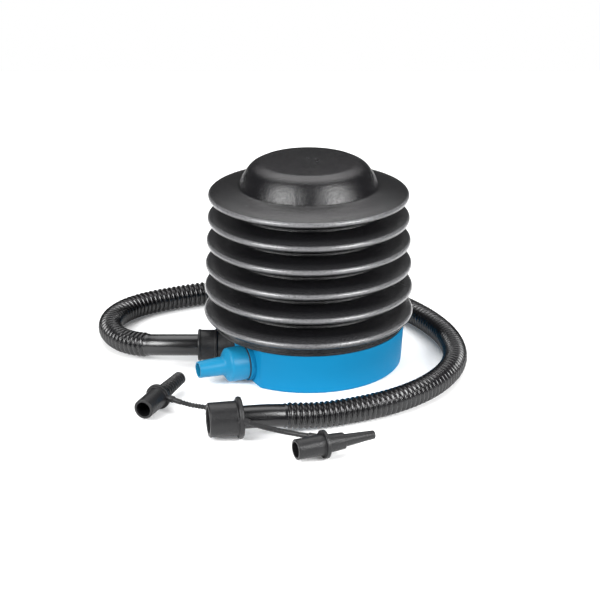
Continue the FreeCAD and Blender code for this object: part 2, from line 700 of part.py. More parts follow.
def bellows():
    neck_out, outside, root_out, lip_out = bellows_side(0)
    neck_in, inside, root_in, lip_in = bellows_side(BELLOWS_WALL)
    top_out = at_height(root_out, lip_out, DOME_UNDER_Z)
    band_z = DOME_UNDER_Z - BELLOWS_WALL
    top_in = at_height(root_in, lip_in, band_z)
    band_r = top_out.x - BELLOWS_TOP_BAND
    foot_out = point_rz(NECK_R, SEAT_TOP_Z)
    foot_bore = point_rz(CLAMP_BORE_R, SEAT_TOP_Z)
    rim_bore = point_rz(CLAMP_BORE_R, FLANGE_TOP_Z)
    foot_in = point_rz(NECK_R - BELLOWS_WALL, FLANGE_TOP_Z)
    edges = outside + inside
    chain = [root_out, top_out, point_rz(band_r, DOME_UNDER_Z), point_rz(band_r, band_z), top_in, root_in]
    edges += [Part.makeLine(a, b) for a, b in zip(chain, chain[1:])]
    chain = [neck_out, foot_out, foot_bore, rim_bore, foot_in, neck_in]
    edges += [Part.makeLine(a, b) for a, b in zip(chain, chain[1:])]
    skin = revolve(edges)
    for degrees in RING_SCREW_ANGLES:
        skin = skin.cut(cylinder(SCREW_R + 0.3, 4, polar(RING_SCREW_PCD_R, degrees, SEAT_TOP_Z - 1)))
    return skin


def seat_ring():
    body = ring(SEAT_RING_R, SEAT_RING_BORE_R, BASE_H, SEAT_TOP_Z)
    for degrees in RING_SCREW_ANGLES:
        body = body.cut(cylinder(SCREW_R + 0.3, 4, polar(RING_SCREW_PCD_R, degrees, BASE_H - 1)))
    return body


def clamp_ring():
    z0 = FLANGE_TOP_Z
    body = ring(CLAMP_RING_R, CLAMP_BORE_R, z0, z0 + CLAMP_RING_T)
    for degrees in RING_SCREW_ANGLES:
        body = body.cut(cylinder(SCREW_R + 0.3, 6, polar(RING_SCREW_PCD_R, degrees, z0 - 1)))
    return body


# ---------------------------------------------------------------- tread dome and spring
def step_dome():
    lip_top = FLANGE_LIP_Z + FLANGE_LIP_ROUND
    lip_in = FLANGE_LIP_R - FLANGE_LIP_ROUND
    top_edge_z = DOME_TOP_Z - 0.6
    mid_r = CREASE_R + 0.55 * (lip_in - CREASE_R)
    inner_top = DOME_TOP_Z - DOME_WALL - 0.5
    side_low = point_rz(CREASE_R, CREASE_Z)
    side_high = point_rz(CREASE_R - 3.6, CREASE_Z + 7.5)
    edges = [
        Part.Arc(point_rz(0, DOME_TOP_Z), point_rz(DOME_FLAT_R / 2, DOME_TOP_Z - 0.15),
                 point_rz(DOME_FLAT_R, top_edge_z)).toShape(),
        Part.Arc(point_rz(DOME_FLAT_R, top_edge_z), point_rz(DOME_FLAT_R + 9.2, DOME_TOP_Z - 4.1), side_high).toShape(),
        Part.makeLine(side_high, side_low),
        Part.Arc(side_low, point_rz(mid_r, CREASE_Z - 1.5), point_rz(lip_in, lip_top)).toShape(),
        Part.Arc(point_rz(lip_in, lip_top), point_rz(FLANGE_LIP_R, FLANGE_LIP_Z),
                 point_rz(lip_in, DOME_UNDER_Z)).toShape(),
    ]
    under_r = CREASE_R + 3.4
    inner = [
        point_rz(lip_in, DOME_UNDER_Z), point_rz(under_r, DOME_UNDER_Z),
        point_rz(under_r, CREASE_Z - 4.6), point_rz(CREASE_R - DOME_WALL, CREASE_Z - 1.2),
        point_rz(CREASE_R - DOME_WALL - 3.4, CREASE_Z + 6.4), point_rz(DOME_FLAT_R - 1.0, inner_top),
        point_rz(0, inner_top), point_rz(0, DOME_TOP_Z),
    ]
    edges += [Part.makeLine(a, b) for a, b in zip(inner, inner[1:])]
    return revolve(edges)


def spring_top_cup():
    top = DOME_TOP_Z - DOME_WALL - 0.5
    low = TOP_SHELF_Z - CUP_RIM_H
    return revolve_points([
        (CUP_HOLE_R, TOP_SHELF_Z), (CUP_BORE_R, TOP_SHELF_Z), (CUP_BORE_R, low), (CUP_R, low),
        (CUP_R, top), (CUP_BORE_R, top), (CUP_BORE_R, TOP_SHELF_Z + CUP_FLOOR_T),
        (CUP_HOLE_R, TOP_SHELF_Z + CUP_FLOOR_T),
    ])


def spring_base_cup():
    return revolve_points([
        (CUP_HOLE_R, BASE_H), (CUP_R, BASE_H), (CUP_R, SPRING_SEAT_Z + CUP_RIM_H),
        (CUP_BORE_R, SPRING_SEAT_Z + CUP_RIM_H), (CUP_BORE_R, SPRING_SEAT_Z), (CUP_HOLE_R, SPRING_SEAT_Z),
    ])


def return_spring():
    """Helical wire as short runs joined by tangent arcs, its ends resting in the two cups."""
    height = TOP_SHELF_Z - SPRING_SEAT_Z - 2 * (SPRING_WIRE_R + SPRING_END_GAP)
    steps = SPRING_TURNS * SPRING_STEPS
    start_z = SPRING_SEAT_Z + SPRING_WIRE_R + SPRING_END_GAP
    route = [polar(SPRING_R, 360 * i / SPRING_STEPS, start_z + height * i / steps) for i in range(steps + 1)]
    return swept(route, SPRING_WIRE_R)[0]


# ---------------------------------------------------------------- hose and tips
def hose():
    tube, length, radii = swept(HOSE_ROUTE, HOSE_R, HOSE_BORE_R)
    report_tube("hose", tube, length, radii, math.pi * (HOSE_R ** 2 - HOSE_BORE_R ** 2))
    return tube


def report_tube(name, tube, length, radii, area):
    share = tube.Volume / (area * length)
    listed = ", ".join("%.0f" % r for r in radii)
    print("%s: length %.1f, bend radii %s, volume share %.4f" % (name, length, listed, share))


def hose_barb():
    end = vec(HOSE_ROUTE[-1])
    arriving = (end - vec(HOSE_ROUTE[-2])).normalize()
    root = cylinder(HOSE_BORE_R - PLUG_GAP, BARB_ROOT_LEN, end - arriving * BARB_ROOT_LEN, arriving)
    front = cylinder(BARB_R, BARB_LEN, end, TIP_OUT)
    bore = cylinder(INFLATE_BORE_R, BARB_LEN + 2, end, TIP_OUT)
    bore = bore.fuse(cylinder(INFLATE_BORE_R, BARB_ROOT_LEN + 2, end, arriving * -1))
    ball = Part.makeSphere(INFLATE_BORE_R, end)
    return root.fuse(front).cut(bore.fuse(ball)).removeSplitter()


def lug(flange_point, direction):
    """Round lug whose end face is where a tether starts."""
    back = V(direction).normalize() * (LUG_LEN + LUG_SINK)
    return cylinder(LUG_R, LUG_LEN + LUG_SINK, vec(flange_point) - back, direction)


def tether_direction(route, from_start):
    if from_start:
        return vec(route[1]) - vec(route[0])
    return vec(route[-2]) - vec(route[-1])


def tip_adapter():
    front = TIP_LEN
    rear_depth = front - TIP_BORE_DEPTH - TIP_WEB_T
    rear_bore = BARB_R + SLIDE_GAP
    outline = [
        (rear_bore, 0, 0), (TIP_FLANGE_R, 0, 0.6), (TIP_FLANGE_R, TIP_FLANGE_T, 0.6),
        (TIP_BODY_R, TIP_FLANGE_T, 0.8), (TIP_BODY_R, front, 0.9), (TIP_BORE_R, front, 0.4),
        (TIP_BORE_R, front - TIP_BORE_DEPTH, 0), (TIP_WEB_BORE_R, front - TIP_BORE_DEPTH, 0),
        (TIP_WEB_BORE_R, rear_depth, 0), (rear_bore, rear_depth, 0),
    ]
    body = aim(revolve(rounded(outline)), TIP_ORIGIN, TIP_OUT)
    for route in (RIB_TETHER_ROUTE, CONE_TETHER_ROUTE):
        body = body.fuse(lug(route[0], tether_direction(route, True)))
    keep_out = cylinder(rear_bore, rear_depth, TIP_ORIGIN, TIP_OUT)
    keep_out = keep_out.fuse(cylinder(HOSE_R + 0.3, 20, TIP_ORIGIN, TIP_OUT * -1))
    return body.cut(keep_out)


def small_adapter(outline, face, degrees, route):
    out = polar(1, degrees)
    body = aim(revolve(rounded(outline)), vec(face), out)
    body = body.fuse(lug(route[-1], tether_direction(route, False)))
    bore = cylinder(SOCKET_BORE_R, SOCKET_BORE_DEPTH, vec(face), out)
    return body.cut(bore)


def cone_adapter():
    a = CONE_SOCKET_LEN
    b = a + SMALL_FLANGE_T
    c = b + CONE_STEP_LEN
    d = c + CONE_TIP_LEN
    outline = [
        (SOCKET_BORE_R, 0, 0), (CONE_SOCKET_R, 0, 0.6), (CONE_SOCKET_R, a, 0.5),
        (CONE_FLANGE_R, a, EDGE_R), (CONE_FLANGE_R, b, EDGE_R), (CONE_STEP_R[0], b, 0.5),
        (CONE_STEP_R[1], c, 0.5), (CONE_TIP_R[0], c, 0.4), (CONE_TIP_R[1], d, 0.5), (CONE_AIR_R, d, 0),
        (CONE_AIR_R, SOCKET_BORE_DEPTH, 0), (SOCKET_BORE_R, SOCKET_BORE_DEPTH, 0),
    ]
    return small_adapter(outline, CONE_FACE, CONE_ANGLE, CONE_TETHER_ROUTE)


def rib_adapter():
    a = RIB_SOCKET_LEN
    b = a + SMALL_FLANGE_T
    end = b + RIB_STEM_LEN
    outline = [
        (SOCKET_BORE_R, 0, 0), (RIB_SOCKET_R, 0, 0.6), (RIB_SOCKET_R, a, 0.5),
        (RIB_FLANGE_R, a, EDGE_R), (RIB_FLANGE_R, b, EDGE_R), (RIB_STEM_R[0] - RIB_DEPTH, b, 0),
    ]
    count = int((RIB_STEM_LEN - 3.0) / RIB_PITCH)
    for i in range(count):
        z = b + 1.0 + i * RIB_PITCH
        crest = RIB_STEM_R[0] + (RIB_STEM_R[1] - RIB_STEM_R[0]) * (z - b) / RIB_STEM_LEN
        outline += [
            (crest - RIB_DEPTH, z, 0), (crest, z + 0.4, 0.25),
            (crest, z + RIB_PITCH - 1.1, 0.25), (crest - RIB_DEPTH, z + RIB_PITCH - 0.7, 0),
        ]
    outline += [
        (RIB_STEM_R[1] - RIB_DEPTH, end, 2.6), (0, end, 0),
        (0, SOCKET_BORE_DEPTH, 0), (SOCKET_BORE_R, SOCKET_BORE_DEPTH, 0),
    ]
    return small_adapter(outline, RIB_FACE, RIB_ANGLE, RIB_TETHER_ROUTE)


def tether(name, route):
    tube, length, radii = swept(route, TETHER_R)
    report_tube(name, tube, length, radii, math.pi * TETHER_R ** 2)
    return tube


# ---------------------------------------------------------------- nodes
def build_nodes():
    return {
        "base_shell": base_shell(),
        "base_plate": base_plate(),
        "base_screws": base_screws(),
        "intake_duct": intake_duct(),
        "exhaust_duct": exhaust_duct(),
        "intake_seat": valve_seat("intake"),
        "intake_flap": valve_flap("intake"),
        "intake_pin": valve_pin("intake"),
        "exhaust_seat": valve_seat("exhaust"),
        "exhaust_flap": valve_flap("exhaust"),
        "exhaust_pin": valve_pin("exhaust"),
        "deflate_nozzle": deflate_nozzle(),
        "deflate_oring": deflate_oring(),
        "inflate_nozzle": inflate_nozzle(),
        "port_sleeve": port_sleeve(),
        "seat_ring": seat_ring(),
        "clamp_ring": clamp_ring(),
        "ring_screws": ring_screws(),
        "bellows": bellows(),
        "step_dome": step_dome(),
        "spring_top_cup": spring_top_cup(),
        "spring_base_cup": spring_base_cup(),
        "return_spring": return_spring(),
        "hose_coupling": hose_coupling(),
        "coupling_seal": coupling_seal(),
        "hose": hose(),
        "hose_barb": hose_barb(),
        "tip_adapter": tip_adapter(),
        "cone_adapter": cone_adapter(),
        "rib_adapter": rib_adapter(),
        "tether_rib": tether("tether_rib", RIB_TETHER_ROUTE),
        "tether_cone": tether("tether_cone", CONE_TETHER_ROUTE),
    }


def main():
    os.makedirs("parts", exist_ok=True)
    for name, shape in build_nodes().items():
        if not shape.isValid() or shape.Volume <= 0:
            raise ValueError("%s is not a valid solid" % name)
        print("%-16s solids %d volume %.1f" % (name, len(shape.Solids), shape.Volume))
        shape.exportStep("parts/%s.step" % name)


if __name__ == "__main__":
    main()
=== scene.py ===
"""Foot bellows air pump: the visual pieces round the fixed frame of the CAD model."""

import json
import math

import bmesh
import bpy
from bpy.props import FloatProperty, FloatVectorProperty, IntProperty, PointerProperty
from mathutils import Matrix, Vector


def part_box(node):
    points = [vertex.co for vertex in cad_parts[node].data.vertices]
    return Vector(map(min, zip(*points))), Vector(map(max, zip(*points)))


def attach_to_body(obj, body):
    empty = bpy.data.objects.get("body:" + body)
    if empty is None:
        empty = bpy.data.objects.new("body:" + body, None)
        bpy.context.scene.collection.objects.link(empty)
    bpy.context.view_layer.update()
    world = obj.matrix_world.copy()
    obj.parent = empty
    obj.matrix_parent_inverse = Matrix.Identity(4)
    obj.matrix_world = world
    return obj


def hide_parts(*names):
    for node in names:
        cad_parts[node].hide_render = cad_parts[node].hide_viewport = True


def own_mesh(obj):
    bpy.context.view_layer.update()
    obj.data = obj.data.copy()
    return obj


bl_info = {
    "name": "Foot bellows pump",
    "version": (1, 0, 0),
    "blender": (4, 5, 0),
    "location": "View3D > Sidebar > Pump",
    "description": "Builds the bellows, hose, ports and tips of a foot pump on its CAD frame",
    "category": "Add Mesh",
}

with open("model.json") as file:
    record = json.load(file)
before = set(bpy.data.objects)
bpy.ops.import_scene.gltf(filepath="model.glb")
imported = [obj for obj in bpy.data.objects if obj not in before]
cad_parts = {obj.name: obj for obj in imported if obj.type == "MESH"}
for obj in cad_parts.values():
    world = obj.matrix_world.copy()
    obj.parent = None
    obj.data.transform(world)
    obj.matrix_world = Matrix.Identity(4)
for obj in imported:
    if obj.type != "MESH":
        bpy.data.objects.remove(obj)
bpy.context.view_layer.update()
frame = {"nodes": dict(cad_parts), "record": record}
MM = 0.001
UP = Vector((0, 0, 1))

# Fold lips from the bottom up: height and radius in millimetres.
FOLD_LIPS = ((36.5, 71.8), (54.0, 71.3), (70.5, 70.5), (87.0, 69.6), (103.0, 68.6))
# Height of the lowest root and radius of the plain neck under it, in millimetres.
NECK_ROOT_Z = 33.2
NECK_R = 65.2

# A lip's colour gets a painted highlight round a crown this far above its widest point, where the lamps
# catch it.
HIGHLIGHT_ANGLE = math.radians(24.0)
HIGHLIGHT_PEAK = 1.5
HIGHLIGHT_FALL = 1.7

MERGE_DISTANCE = 1e-7
SHARP_ANGLE = math.radians(50)
PORT_STEPS = 96
SMALL_TIP_STEPS = 72
RING_STEPS = 48
LUG_STEPS = 24
CREST_WIDTH = 0.95
SOCKET_DEPTH = 0.015
SOCKET_R = 0.0049

# Centre line of the hose, from the coupling's face to the tip's flange, in metres.
HOSE_ROUTE = (
    (-0.0760, -0.0115, 0.0133),
    (-0.0975, -0.0115, 0.0133),
    (-0.1180, -0.0035, 0.0100),
    (-0.1340, 0.0110, 0.0085),
    (-0.1425, 0.0320, 0.0085),
    (-0.1400, 0.0545, 0.0085),
    (-0.1260, 0.0750, 0.0085),
    (-0.0980, 0.0915, 0.0085),
    (-0.0640, 0.1050, 0.0085),
    (-0.0220, 0.1120, 0.0085),
    (0.0220, 0.1065, 0.0085),
    (0.0590, 0.0845, 0.0085),
    (0.0840, 0.0515, 0.0085),
    (0.1000, 0.0120, 0.0085),
    (0.1015, -0.0290, 0.0085),
    (0.0850, -0.0660, 0.0085),
    (0.0570, -0.0940, 0.0085),
    (0.0230, -0.1105, 0.0085),
    (0.0045, -0.1169, 0.0090),
    (-0.0120, -0.1222, 0.0113),
    (-0.0280, -0.1266, 0.0135),
    (-0.0425, -0.1296, 0.0135),
)
RIB_TETHER_ROUTE = (
    (-0.0494, -0.1152, 0.0126),
    (-0.0580, -0.1104, 0.0104),
    (-0.0686, -0.1034, 0.0086),
    (-0.0794, -0.0976, 0.0079),
    (-0.0874, -0.0926, 0.0086),
)
CONE_TETHER_ROUTE = (
    (-0.0366, -0.1410, 0.0148),
    (-0.0286, -0.1422, 0.0126),
    (-0.0186, -0.1430, 0.0106),
    (-0.0084, -0.1462, 0.0099),
    (-0.0009, -0.1496, 0.0102),
)

LIGHT_DISTANCE = 1.7
STUDIO_MIDDLE = Vector((0, 0, 0.06))
# Soft boxes: name, azimuth from the camera, height, width, depth (degrees), brightness.
STUDIO_LIGHTS = (
    ("key left", -46.0, 30.0, 28.0, 26.0, 17.5),
    ("key right", 50.0, 30.0, 28.0, 26.0, 17.5),
    ("overhead", 180.0, 68.0, 62.0, 52.0, 3.0),
)
MIRRORED_WORLD = 0.09
FLOOR_HALF = 0.8
FLOOR_GLOW = 0.12

CAMERA_TARGET = Vector((-0.005865, 0.0, 0.04199))
CAMERA_ELEVATION = math.radians(21.4)
CAMERA_DISTANCE = 1.2489
CAMERA_LENS = 108.6
CAMERA_SENSOR = 36.0


# ------------------------------------------------------------------ settings
class PumpSizes(bpy.types.PropertyGroup):
    """Sizes of the visual detail that a user may change"""

    hose_outer: FloatProperty(
        name="Hose radius", description="Radius over the corrugations", default=0.00845, unit="LENGTH"
    )
    hose_groove: FloatProperty(
        name="Groove depth", description="Depth of a corrugation's groove", default=0.0021, unit="LENGTH"
    )
    hose_pitch: FloatProperty(
        name="Corrugation pitch", description="From one corrugation to the next", default=0.0037,
        unit="LENGTH",
    )
    cuff_radius: FloatProperty(
        name="Cuff radius", description="Radius of the plain ends", default=0.0074, unit="LENGTH"
    )
    rear_cuff: FloatProperty(
        name="Rear cuff", description="Length of the plain end at the pump", default=0.034, unit="LENGTH"
    )
    front_cuff: FloatProperty(
        name="Front cuff", description="Length of the plain end at the tip", default=0.026, unit="LENGTH"
    )
    fold_depth: FloatProperty(
        name="Fold depth", description="From a fold's lip to its root", default=0.015, unit="LENGTH"
    )
    lip_round: FloatProperty(
        name="Lip rounding", description="Rounding of each fold's lip", default=0.0023, unit="LENGTH"
    )
    root_round: FloatProperty(
        name="Root rounding", description="Rounding of each fold's root", default=0.0018, unit="LENGTH"
    )
    bellows_wall: FloatProperty(
        name="Bellows wall", description="Thickness of the moulded wall", default=0.0012, unit="LENGTH"
    )
    tether_radius: FloatProperty(
        name="Tether radius", description="Half the tether's thickness", default=0.0017, unit="LENGTH"
    )
    spring_turns: IntProperty(
        name="Spring turns", description="Turns of the return spring", default=8, min=3, max=20
    )
    lathe_steps: IntProperty(
        name="Lathe steps", description="Steps round a turned piece", default=160, min=24, max=360
    )


class PumpColours(bpy.types.PropertyGroup):
    """Colours of the moulded finishes"""

    bellows: FloatVectorProperty(
        name="Bellows", description="Grained black of the bellows", subtype="COLOR", size=4,
        default=(0.0048, 0.0048, 0.0056, 1.0),
    )
    hose: FloatVectorProperty(
        name="Hose", description="Black of the hose", subtype="COLOR", size=4,
        default=(0.0040, 0.0040, 0.0048, 1.0),
    )
    tips: FloatVectorProperty(
        name="Tips", description="Soft black of the tips", subtype="COLOR", size=4,
        default=(0.0060, 0.0060, 0.0068, 1.0),
    )
    base: FloatVectorProperty(
        name="Base", description="Blue of the base", subtype="COLOR", size=4,
        default=(0.004, 0.170, 0.345, 1.0),
    )
    nozzle: FloatVectorProperty(
        name="Nozzle", description="Lighter blue of the spigot", subtype="COLOR", size=4,
        default=(0.008, 0.180, 0.335, 1.0),
    )
    floor: FloatVectorProperty(
        name="Floor", description="Pale floor", subtype="COLOR", size=4,
        default=(0.94, 0.94, 0.94, 1.0),
    )


# ------------------------------------------------------------------ mesh helpers
def rounded(points, steps=5):
    """Outline through (r, z, rounding) points in metres, each rounding a short arc."""
    outline = []
    count = len(points)
    for i, (r, z, fillet) in enumerate(points):
        here = Vector((r, z))
        if not fillet or i in (0, count - 1):
            outline.append((r, z))
            continue
        back = (Vector(points[i - 1][:2]) - here).normalized()
        ahead = (Vector(points[i + 1][:2]) - here).normalized()
        half = back.angle(ahead) / 2
        reach = fillet / math.tan(half)
        centre = here + (back + ahead).normalized() * (fillet / math.sin(half))
        first = here + back * reach - centre
        last = here + ahead * reach - centre
        sweep = first.angle(last)
        for k in range(steps + 1):
            t = k / steps
            arm = (first * math.sin((1 - t) * sweep) + last * math.sin(t * sweep)) / math.sin(sweep)
            outline.append(tuple(centre + arm))
    return outline


def facing(base, axis):
    """Matrix that lays a piece made along +Z from base along axis."""
    turn = UP.rotation_difference(Vector(axis).normalized()).to_matrix().to_4x4()
    return Matrix.Translation(Vector(base)) @ turn


def lathe_into(bm, outline, steps, matrix=Matrix.Identity(4)):
    """Turn an outline about Z into bm. A closed outline ends on its first point."""
    rings = []
    for r, z in outline:
        if r < MERGE_DISTANCE:
            rings.append([bm.verts.new(matrix @ Vector((0, 0, z)))])
            continue
        ring = []
        for k in range(steps):
            a = 2 * math.pi * k / steps
            ring.append(bm.verts.new(matrix @ Vector((r * math.cos(a), r * math.sin(a), z))))
        rings.append(ring)
    for low, high in zip(rings, rings[1:]):
        for k in range(steps):
            n = (k + 1) % steps
            if len(low) == 1 and len(high) == 1:
                break
            if len(low) == 1:
                bm.faces.new((low[0], high[n], high[k]))
            elif len(high) == 1:
                bm.faces.new((low[k], low[n], high[0]))
            else:
                bm.faces.new((low[k], low[n], high[n], high[k]))


def finish_mesh(name, bm, smooth=True):
    """Merge doubles, turn the faces outwards and link the mesh as a new object."""
    bmesh.ops.remove_doubles(bm, verts=bm.verts, dist=MERGE_DISTANCE)
    bmesh.ops.recalc_face_normals(bm, faces=bm.faces)
    mesh = bpy.data.meshes.new(name)
    bm.to_mesh(mesh)
    bm.free()
    for polygon in mesh.polygons:
        polygon.use_smooth = smooth
    mesh.set_sharp_from_angle(angle=SHARP_ANGLE)
    obj = bpy.data.objects.new(name, mesh)
    bpy.context.scene.collection.objects.link(obj)
    return obj


def closed(outline):
    """Outline that ends on its first point."""
    return list(outline) + [outline[0]]


def attach(obj, material, body, slot, *nodes):
    """Give a finished piece its material, its body and the CAD nodes that it stands for."""
    obj.data.materials.clear()
    obj.data.materials.append(material)
    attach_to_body(obj, body)
    if nodes:
        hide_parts(*nodes)
    return obj


def painted_highlight_crown(lip):
    """From a lip's widest point to the middle of its painted highlight."""
    return Vector((math.cos(HIGHLIGHT_ANGLE) - 1, math.sin(HIGHLIGHT_ANGLE))) * lip


def mark_painted_highlight(obj, centres, radius):
    """Attribute that is one round each lip's crown, where a highlight is painted into the colour."""
    lip_highlight = obj.data.attributes.new("lip_highlight", "FLOAT", "POINT")
    for vertex, value in zip(obj.data.vertices, lip_highlight.data):
        place = Vector((math.hypot(vertex.co.x, vertex.co.y), vertex.co.z))
        gap = min((place - Vector(centre)).length for centre in centres)
        value.value = max(0.0, min(1.0, HIGHLIGHT_PEAK - HIGHLIGHT_FALL * gap / radius))


def mount(name):
    """Position and direction of one of the record's mounts."""
    for entry in frame["record"]["mounts"]:
        if entry["name"] == name:
            return Vector(entry["pos_m"]), Vector(entry["axis"]).normalized()
    raise ValueError("the record has no mount named %s" % name)


# ------------------------------------------------------------------ node helpers
class Tree:
    """Adds and links the nodes of one tree."""

    def __init__(self, tree):
        self.tree = tree

    def add(self, kind, inputs=None, **settings):
        """New node with its input values or links, and its own settings."""
        node = self.tree.nodes.new(kind)
        for key, value in settings.items():
            setattr(node, key, value)
        for key, value in (inputs or {}).items():
            self.feed(node.inputs[key], value)
        return node

    def feed(self, socket, value):
        if isinstance(value, bpy.types.NodeSocket):
            self.tree.links.new(value, socket)
        else:
            socket.default_value = value

    def math(self, operation, a, b=0.0, c=0.0, clamp=False):
        node = self.tree.nodes.new("ShaderNodeMath")
        node.operation = operation
        node.use_clamp = clamp
        for socket, value in zip(node.inputs, (a, b, c)):
            self.feed(socket, value)
        return node.outputs[0]

    def ramp(self, value, low, high, out_low=0.0, out_high=1.0):
        """Smooth step of value from low to high."""
        node = self.add("ShaderNodeMapRange", {
            "Value": value, "From Min": low, "From Max": high, "To Min": out_low, "To Max": out_high,
        }, interpolation_type="SMOOTHSTEP")
        return node.outputs["Result"]


def new_group(name, kind, inputs, outputs):
    """Node group with named sockets; returns the group, its helper and its two end nodes."""
    group = bpy.data.node_groups.new(name, kind)
    for label, socket_type, default in inputs:
        socket = group.interface.new_socket(label, in_out="INPUT", socket_type=socket_type)
        if default is not None:
            socket.default_value = default
    for label, socket_type in outputs:
        group.interface.new_socket(label, in_out="OUTPUT", socket_type=socket_type)
    helper = Tree(group)
    return group, helper, group.nodes.new("NodeGroupInput"), group.nodes.new("NodeGroupOutput")


def applied(obj, group, values):
    """Run a Geometry Nodes group on obj and keep the result as a plain mesh object."""
    modifier = obj.modifiers.new(group.name, "NODES")
    modifier.node_group = group
    keys = {item.name: item.identifier for item in group.interface.items_tree if item.in_out == "INPUT"}
    for label, value in values.items():
        modifier[keys[label]] = value
    obj.update_tag()
    bpy.context.view_layer.update()
    graph = bpy.context.evaluated_depsgraph_get()
    mesh = bpy.data.meshes.new_from_object(obj.evaluated_get(graph), depsgraph=graph)
    name = obj.name
    bpy.data.objects.remove(obj)
    made = bpy.data.objects.new(name, mesh)
    mesh.name = name
    bpy.context.scene.collection.objects.link(made)
    return made


def float_socket(label, default):
    """Row for new_group: a number with its default."""
    return (label, "NodeSocketFloat", default)


# ------------------------------------------------------------------ geometry node trees
def ribbed_tube_tree():
    """Round tube along a curve, corrugated between two plain ends."""
    group, t, start, end = new_group("Ribbed tube", "GeometryNodeTree", [
        ("Geometry", "NodeSocketGeometry", None),
        float_socket("Outer Radius", 0.0085), float_socket("Groove Depth", 0.001),
        float_socket("Pitch", 0.004), float_socket("Plain Radius", 0.008),
        float_socket("Plain Start", 0.03), float_socket("Plain End", 0.03),
        float_socket("Crest Width", 0.5), float_socket("Step", 0.0005),
        ("Sides", "NodeSocketInt", 48), ("Material", "NodeSocketMaterial", None),
    ], [("Geometry", "NodeSocketGeometry")])
    i = start.outputs
    points = t.add(
        "GeometryNodeResampleCurve", {"Curve": i["Geometry"], "Length": i["Step"]}, mode="LENGTH"
    )
    along = t.add("GeometryNodeSplineParameter").outputs["Length"]
    whole = t.add("GeometryNodeSplineLength").outputs["Length"]
    turns = t.math("MULTIPLY", t.math("DIVIDE", along, i["Pitch"]), math.pi)
    wave = t.math("POWER", t.math("ABSOLUTE", t.math("SINE", turns)), i["Crest Width"])
    drop = t.math("MULTIPLY", t.math("SUBTRACT", 1.0, wave), i["Groove Depth"])
    ribbed = t.math("SUBTRACT", i["Outer Radius"], drop)
    after_start = t.ramp(along, i["Plain Start"], t.math("ADD", i["Plain Start"], i["Pitch"]))
    from_end = t.math("SUBTRACT", whole, along)
    before_end = t.ramp(from_end, i["Plain End"], t.math("ADD", i["Plain End"], i["Pitch"]))
    share = t.math("MULTIPLY", after_start, before_end)
    radius = t.add(
        "ShaderNodeMix", {"Factor": share, "A": i["Plain Radius"], "B": ribbed}, data_type="FLOAT"
    )
    circle = t.add("GeometryNodeCurvePrimitiveCircle", {"Resolution": i["Sides"], "Radius": 1.0})
    tube = t.add("GeometryNodeCurveToMesh", {
        "Curve": points.outputs["Curve"], "Profile Curve": circle.outputs["Curve"],
        "Scale": radius.outputs[0], "Fill Caps": True,
    })
    finish_tree(t, tube.outputs["Mesh"], i["Material"], end)
    return group


def finish_tree(t, geometry, material, end):
    """Realize Instances, smooth shading and Set Material, then the output."""
    real = t.add("GeometryNodeRealizeInstances", {"Geometry": geometry})
    smooth = t.add("GeometryNodeSetShadeSmooth", {"Geometry": real.outputs["Geometry"]})
    painted = t.add("GeometryNodeSetMaterial", {
        "Geometry": smooth.outputs["Geometry"], "Material": material,
    })
    t.feed(end.inputs["Geometry"], painted.outputs["Geometry"])


def coil_spring_tree():
    """Round wire wound as a compression spring."""
    group, t, start, end = new_group("Coil spring", "GeometryNodeTree", [
        ("Geometry", "NodeSocketGeometry", None),
        float_socket("Turns", 8.0), float_socket("Radius", 0.024), float_socket("Height", 0.09),
        float_socket("Wire Radius", 0.0013), float_socket("Foot Height", 0.03),
        ("Material", "NodeSocketMaterial", None),
    ], [("Geometry", "NodeSocketGeometry")])
    i = start.outputs
    spiral = t.add("GeometryNodeCurveSpiral", {
        "Resolution": 40, "Rotations": i["Turns"], "Start Radius": i["Radius"],
        "End Radius": i["Radius"], "Height": i["Height"],
    })
    place = t.add("ShaderNodeCombineXYZ", {"Z": i["Foot Height"]})
    lifted = t.add("GeometryNodeTransform", {
        "Geometry": spiral.outputs["Curve"], "Translation": place.outputs["Vector"],
    })
    circle = t.add("GeometryNodeCurvePrimitiveCircle", {"Resolution": 14, "Radius": i["Wire Radius"]})
    wire = t.add("GeometryNodeCurveToMesh", {
        "Curve": lifted.outputs["Geometry"], "Profile Curve": circle.outputs["Curve"], "Fill Caps": True,
    })
    finish_tree(t, wire.outputs["Mesh"], i["Material"], end)
    return group


def stacked_rings_tree():
    """Repeats a ring mesh up a line, each one a little smaller."""
    group, t, start, end = new_group("Stacked rings", "GeometryNodeTree", [
        ("Geometry", "NodeSocketGeometry", None),
        ("Count", "NodeSocketInt", 10), float_socket("Pitch", 0.0025), float_socket("First", 0.0),
        float_socket("Last Scale", 0.8), ("Material", "NodeSocketMaterial", None),
    ], [("Geometry", "NodeSocketGeometry")])
    i = start.outputs
    first = t.add("ShaderNodeCombineXYZ", {"Z": i["First"]})
    step = t.add("ShaderNodeCombineXYZ", {"Z": i["Pitch"]})
    line = t.add("GeometryNodeMeshLine", {
        "Count": i["Count"], "Start Location": first.outputs["Vector"], "Offset": step.outputs["Vector"],
    })
    index = t.add("GeometryNodeInputIndex").outputs["Index"]
    share = t.math("DIVIDE", index, t.math("SUBTRACT", i["Count"], 1.0))
    size = t.add("ShaderNodeMapRange", {"Value": share, "To Min": 1.0, "To Max": i["Last Scale"]})
    across = size.outputs["Result"]
    scale = t.add("ShaderNodeCombineXYZ", {"X": across, "Y": across, "Z": 1.0})
    copies = t.add("GeometryNodeInstanceOnPoints", {
        "Points": line.outputs["Mesh"], "Instance": i["Geometry"], "Scale": scale.outputs["Vector"],
    })
    finish_tree(t, copies.outputs["Instances"], i["Material"], end)
    return group


